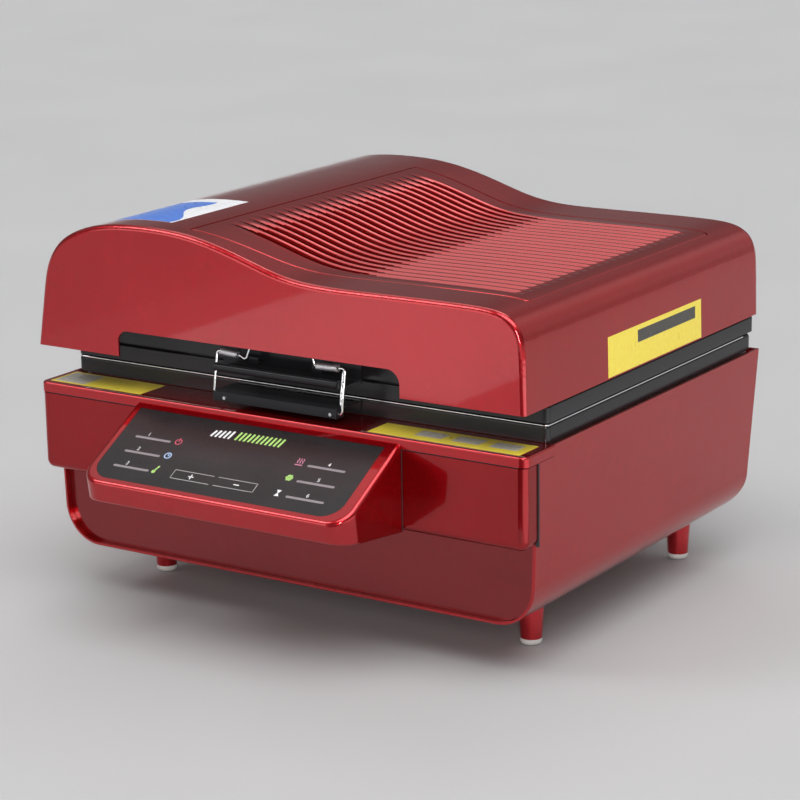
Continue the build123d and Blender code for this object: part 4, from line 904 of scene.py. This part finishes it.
def flat_shape(name, outlines, material, low=0.00001, high=0.00006):
    """Flat printed marks: each outline is a closed list of (u, v), and an outline may be a pair (outer, inner) for a ring."""
    verts, faces = [], []
    for shape in outlines:
        ring = isinstance(shape, tuple)
        outer = shape[0] if ring else shape
        inner = shape[1] if ring else None
        n = len(outer)
        k0 = len(verts)
        for lift in (high, low):
            verts += [on_face(u, v, lift) for u, v in outer]
            if ring:
                verts += [on_face(u, v, lift) for u, v in inner]
        if not ring:
            faces.append(tuple(k0 + i for i in range(n)))
            faces.append(tuple(k0 + n + i for i in reversed(range(n))))
            for i in range(n):
                j = (i + 1) % n
                faces.append((k0 + i, k0 + n + i, k0 + n + j, k0 + j))
        else:
            for i in range(n):
                j = (i + 1) % n
                a, b, c, d = k0 + i, k0 + j, k0 + n + i, k0 + n + j
                faces.append((a, b, d, c))
                faces.append((a + 2 * n, c + 2 * n, d + 2 * n, b + 2 * n))
                faces.append((a, a + 2 * n, b + 2 * n, b))
                faces.append((c, d, d + 2 * n, c + 2 * n))
    o = new_object(name, verts, faces, material, "base", smooth=False)
    bm = bmesh.new()
    bm.from_mesh(o.data)
    bmesh.ops.recalc_face_normals(bm, faces=bm.faces)
    bm.to_mesh(o.data)
    bm.free()
    return o


def bar(u0, u1, v, w):
    r = w / 2
    pts = [(u1 - r + r * math.cos(a), v + r * math.sin(a)) for a in np.linspace(-math.pi / 2, math.pi / 2, 9)]
    pts += [(u0 + r + r * math.cos(a), v + r * math.sin(a)) for a in np.linspace(math.pi / 2, 3 * math.pi / 2, 9)]
    return pts


def disc(u, v, r, n=28):
    return [(u + r * math.cos(2 * math.pi * i / n), v + r * math.sin(2 * math.pi * i / n)) for i in range(n)]


def stroke(a, b, w):
    (u0, v0), (u1, v1) = a, b
    L = math.hypot(u1 - u0, v1 - v0)
    du, dv = (u1 - u0) / L * w / 2, (v1 - v0) / L * w / 2
    return [(u0 - du + dv, v0 - dv - du), (u1 + du + dv, v1 + dv - du), (u1 + du - dv, v1 + dv + du), (u0 - du - dv, v0 - dv + du)]


def arc(u, v, r, w, a0, a1, n=24):
    t = np.linspace(math.radians(a0), math.radians(a1), n)
    return [(u + (r + w / 2) * math.cos(a), v + (r + w / 2) * math.sin(a)) for a in t] + \
           [(u + (r - w / 2) * math.cos(a), v + (r - w / 2) * math.sin(a)) for a in reversed(t)]


flat_shape("marks_bars", [bar(-114.2, -75.2, v, 2.5) for v in (9.5, -9.0, -27.6)] + [bar(72, 111, v, 2.5) for v in (9.0, -9.9, -28.8)], "ink_grey")
# power sign
flat_shape("mark_power", [arc(-67.3, 11.2, 3.1, 0.95, 118, 422, 32), stroke((-67.3, 11.8), (-67.3, 15.2), 0.95)], "ink_red")
# clock
flat_shape("mark_clock", [(disc(-67.6, -6.6, 3.7), disc(-67.6, -6.6, 2.7)), stroke((-67.6, -6.6), (-67.6, -4.6), 0.8), stroke((-67.6, -6.6), (-65.9, -6.6), 0.8)], "ink_blue")
# thermometer
flat_shape("mark_thermometer", [disc(-70.2, -27.2, 2.0), stroke((-69.9, -26.0), (-68.0, -20.9), 1.7)], "ink_green")
# rising heat
flat_shape("mark_heat", [[(63.0 + dx - 0.45 + 0.55 * math.sin(a * 1.9), 10.0 + a) for a in np.linspace(0, 6, 14)] + [(63.0 + dx + 0.45 + 0.55 * math.sin(a * 1.9), 10.0 + a) for a in np.linspace(6, 0, 14)] for dx in (-2.6, 0.0, 2.6)] + [stroke((59.6, 8.2), (66.4, 8.2), 1.0)], "ink_pink")
# fan
flat_shape("mark_fan", [arc(63.2 + 2.35 * math.cos(math.radians(q)), -7.7 + 2.35 * math.sin(math.radians(q)), 0.75, 1.45, 0, 350, 16) for q in range(0, 360, 60)] + [(disc(63.2, -7.7, 1.3), disc(63.2, -7.7, 0.5))], "ink_green")
# hourglass
flat_shape("mark_hourglass", [[(60.2, -23.0), (65.0, -23.0), (63.1, -26.4), (62.1, -26.4)], [(62.1, -26.8), (63.1, -26.8), (65.0, -30.2), (60.2, -30.2)]], "ink_white")
# plus and minus keys in an open frame
L0, L1, T, B, W = -49.6, 38.4, -20.8, -30.9, 0.62
flat_shape("marks_key_frame", [stroke((L0, T), (-8.2, T), W), stroke((-3.2, T), (L1, T), W), stroke((L0, B), (-8.2, B), W), stroke((-3.2, B), (L1, B), W),
                               stroke((L0, B), (L0, T), W), stroke((L1, B), (L1, T), W)], "ink_line")
flat_shape("marks_plus_minus", [stroke((-32.3, -26.0), (-27.7, -26.0), 1.1), stroke((-30.0, -28.3), (-30.0, -26.55), 1.1), stroke((-30.0, -25.45), (-30.0, -23.7), 1.1),
                                stroke((16.2, -26.0), (20.8, -26.0), 1.1)], "ink_white")


def numeral(name, text, u, v, size, material):
    cu = bpy.data.curves.new(name, "FONT")
    cu.body = text
    cu.size = size / 1000
    cu.extrude = 0.00002
    cu.align_x = "CENTER"
    tmp = bpy.data.objects.new(name + "_tmp", cu)
    scene.collection.objects.link(tmp)
    bpy.context.view_layer.update()
    me = bpy.data.meshes.new_from_object(tmp.evaluated_get(bpy.context.evaluated_depsgraph_get()))
    bpy.data.objects.remove(tmp)
    rot = Matrix((C_U, C_V, C_N)).transposed().to_4x4()
    me.transform(Matrix.Translation(on_face(u, v, 0.00003)) @ rot)
    me.materials.clear()
    me.materials.append(M[material])
    o = bpy.data.objects.new(name, me)
    scene.collection.objects.link(o)
    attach(o, "base")
    return o


for i, (u, v) in enumerate(((-101.5, 12.2), (-101.5, -6.2), (-101.5, -24.8), (92, 11.9), (92, -7.0), (92, -25.9))):
    numeral(f"key_number_{i + 1}", str(i + 1), u, v, 6.0, "ink_white")

# plain level ticks above the keys
flat_shape("marks_level_low", [stroke((-40 + 4.6 * i, 25.2), (-38.2 + 4.6 * i, 30.6 + 0.5 * i), 2.3) for i in range(5)], "ink_white")
flat_shape("marks_level_high", [stroke((-14 + 4.6 * i, 25.2), (-12.2 + 4.6 * i, 33.0), 2.3) for i in range(11)], "ink_green")

# ------------------------------------------------------------------ filaments in the quartz tubes
box_lo, box_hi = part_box("heating_tubes")


def filament(name, y, z, x0, x1):
    turns = int((x1 - x0) / 0.0042)
    pts = []
    for i in range(turns * 12 + 1):
        s = i / (turns * 12)
        a = 2 * math.pi * turns * s
        pts.append(Vector((x0 + (x1 - x0) * s, y + 0.0024 * math.cos(a), z + 0.0024 * math.sin(a))))
    return tube(name, pts, 0.00042, "heating_filament", "lid", 6)


for _i in range(6):
    _y = 100.0 + 57.2 * _i
    filament(f"filament_{_i + 1}", (_y - 185) / 1000, 0.258, -0.198, 0.198)


# ------------------------------------------------------------------ floor
def build_floor():
    me = bpy.data.meshes.new("floor")
    bm = bmesh.new()
    bmesh.ops.create_circle(bm, cap_ends=True, radius=30, segments=96)
    bm.to_mesh(me)
    bm.free()
    o = bpy.data.objects.new("floor", me)
    scene.collection.objects.link(o)
    o.location = (0, 0, -0.0002)
    k = Mat("floor_paper")
    k.set(spec=0.25)
    g = k.noise(3.0, 3, 0.5)
    k.to("Base Color", k.mix(g, (0.42, 0.42, 0.425), (0.445, 0.445, 0.45)))
    k.to("Roughness", k.remap(g, 0.3, 0.7, 0.55, 0.65))
    me.materials.append(k.m)


build_floor()

bpy.context.view_layer.update()
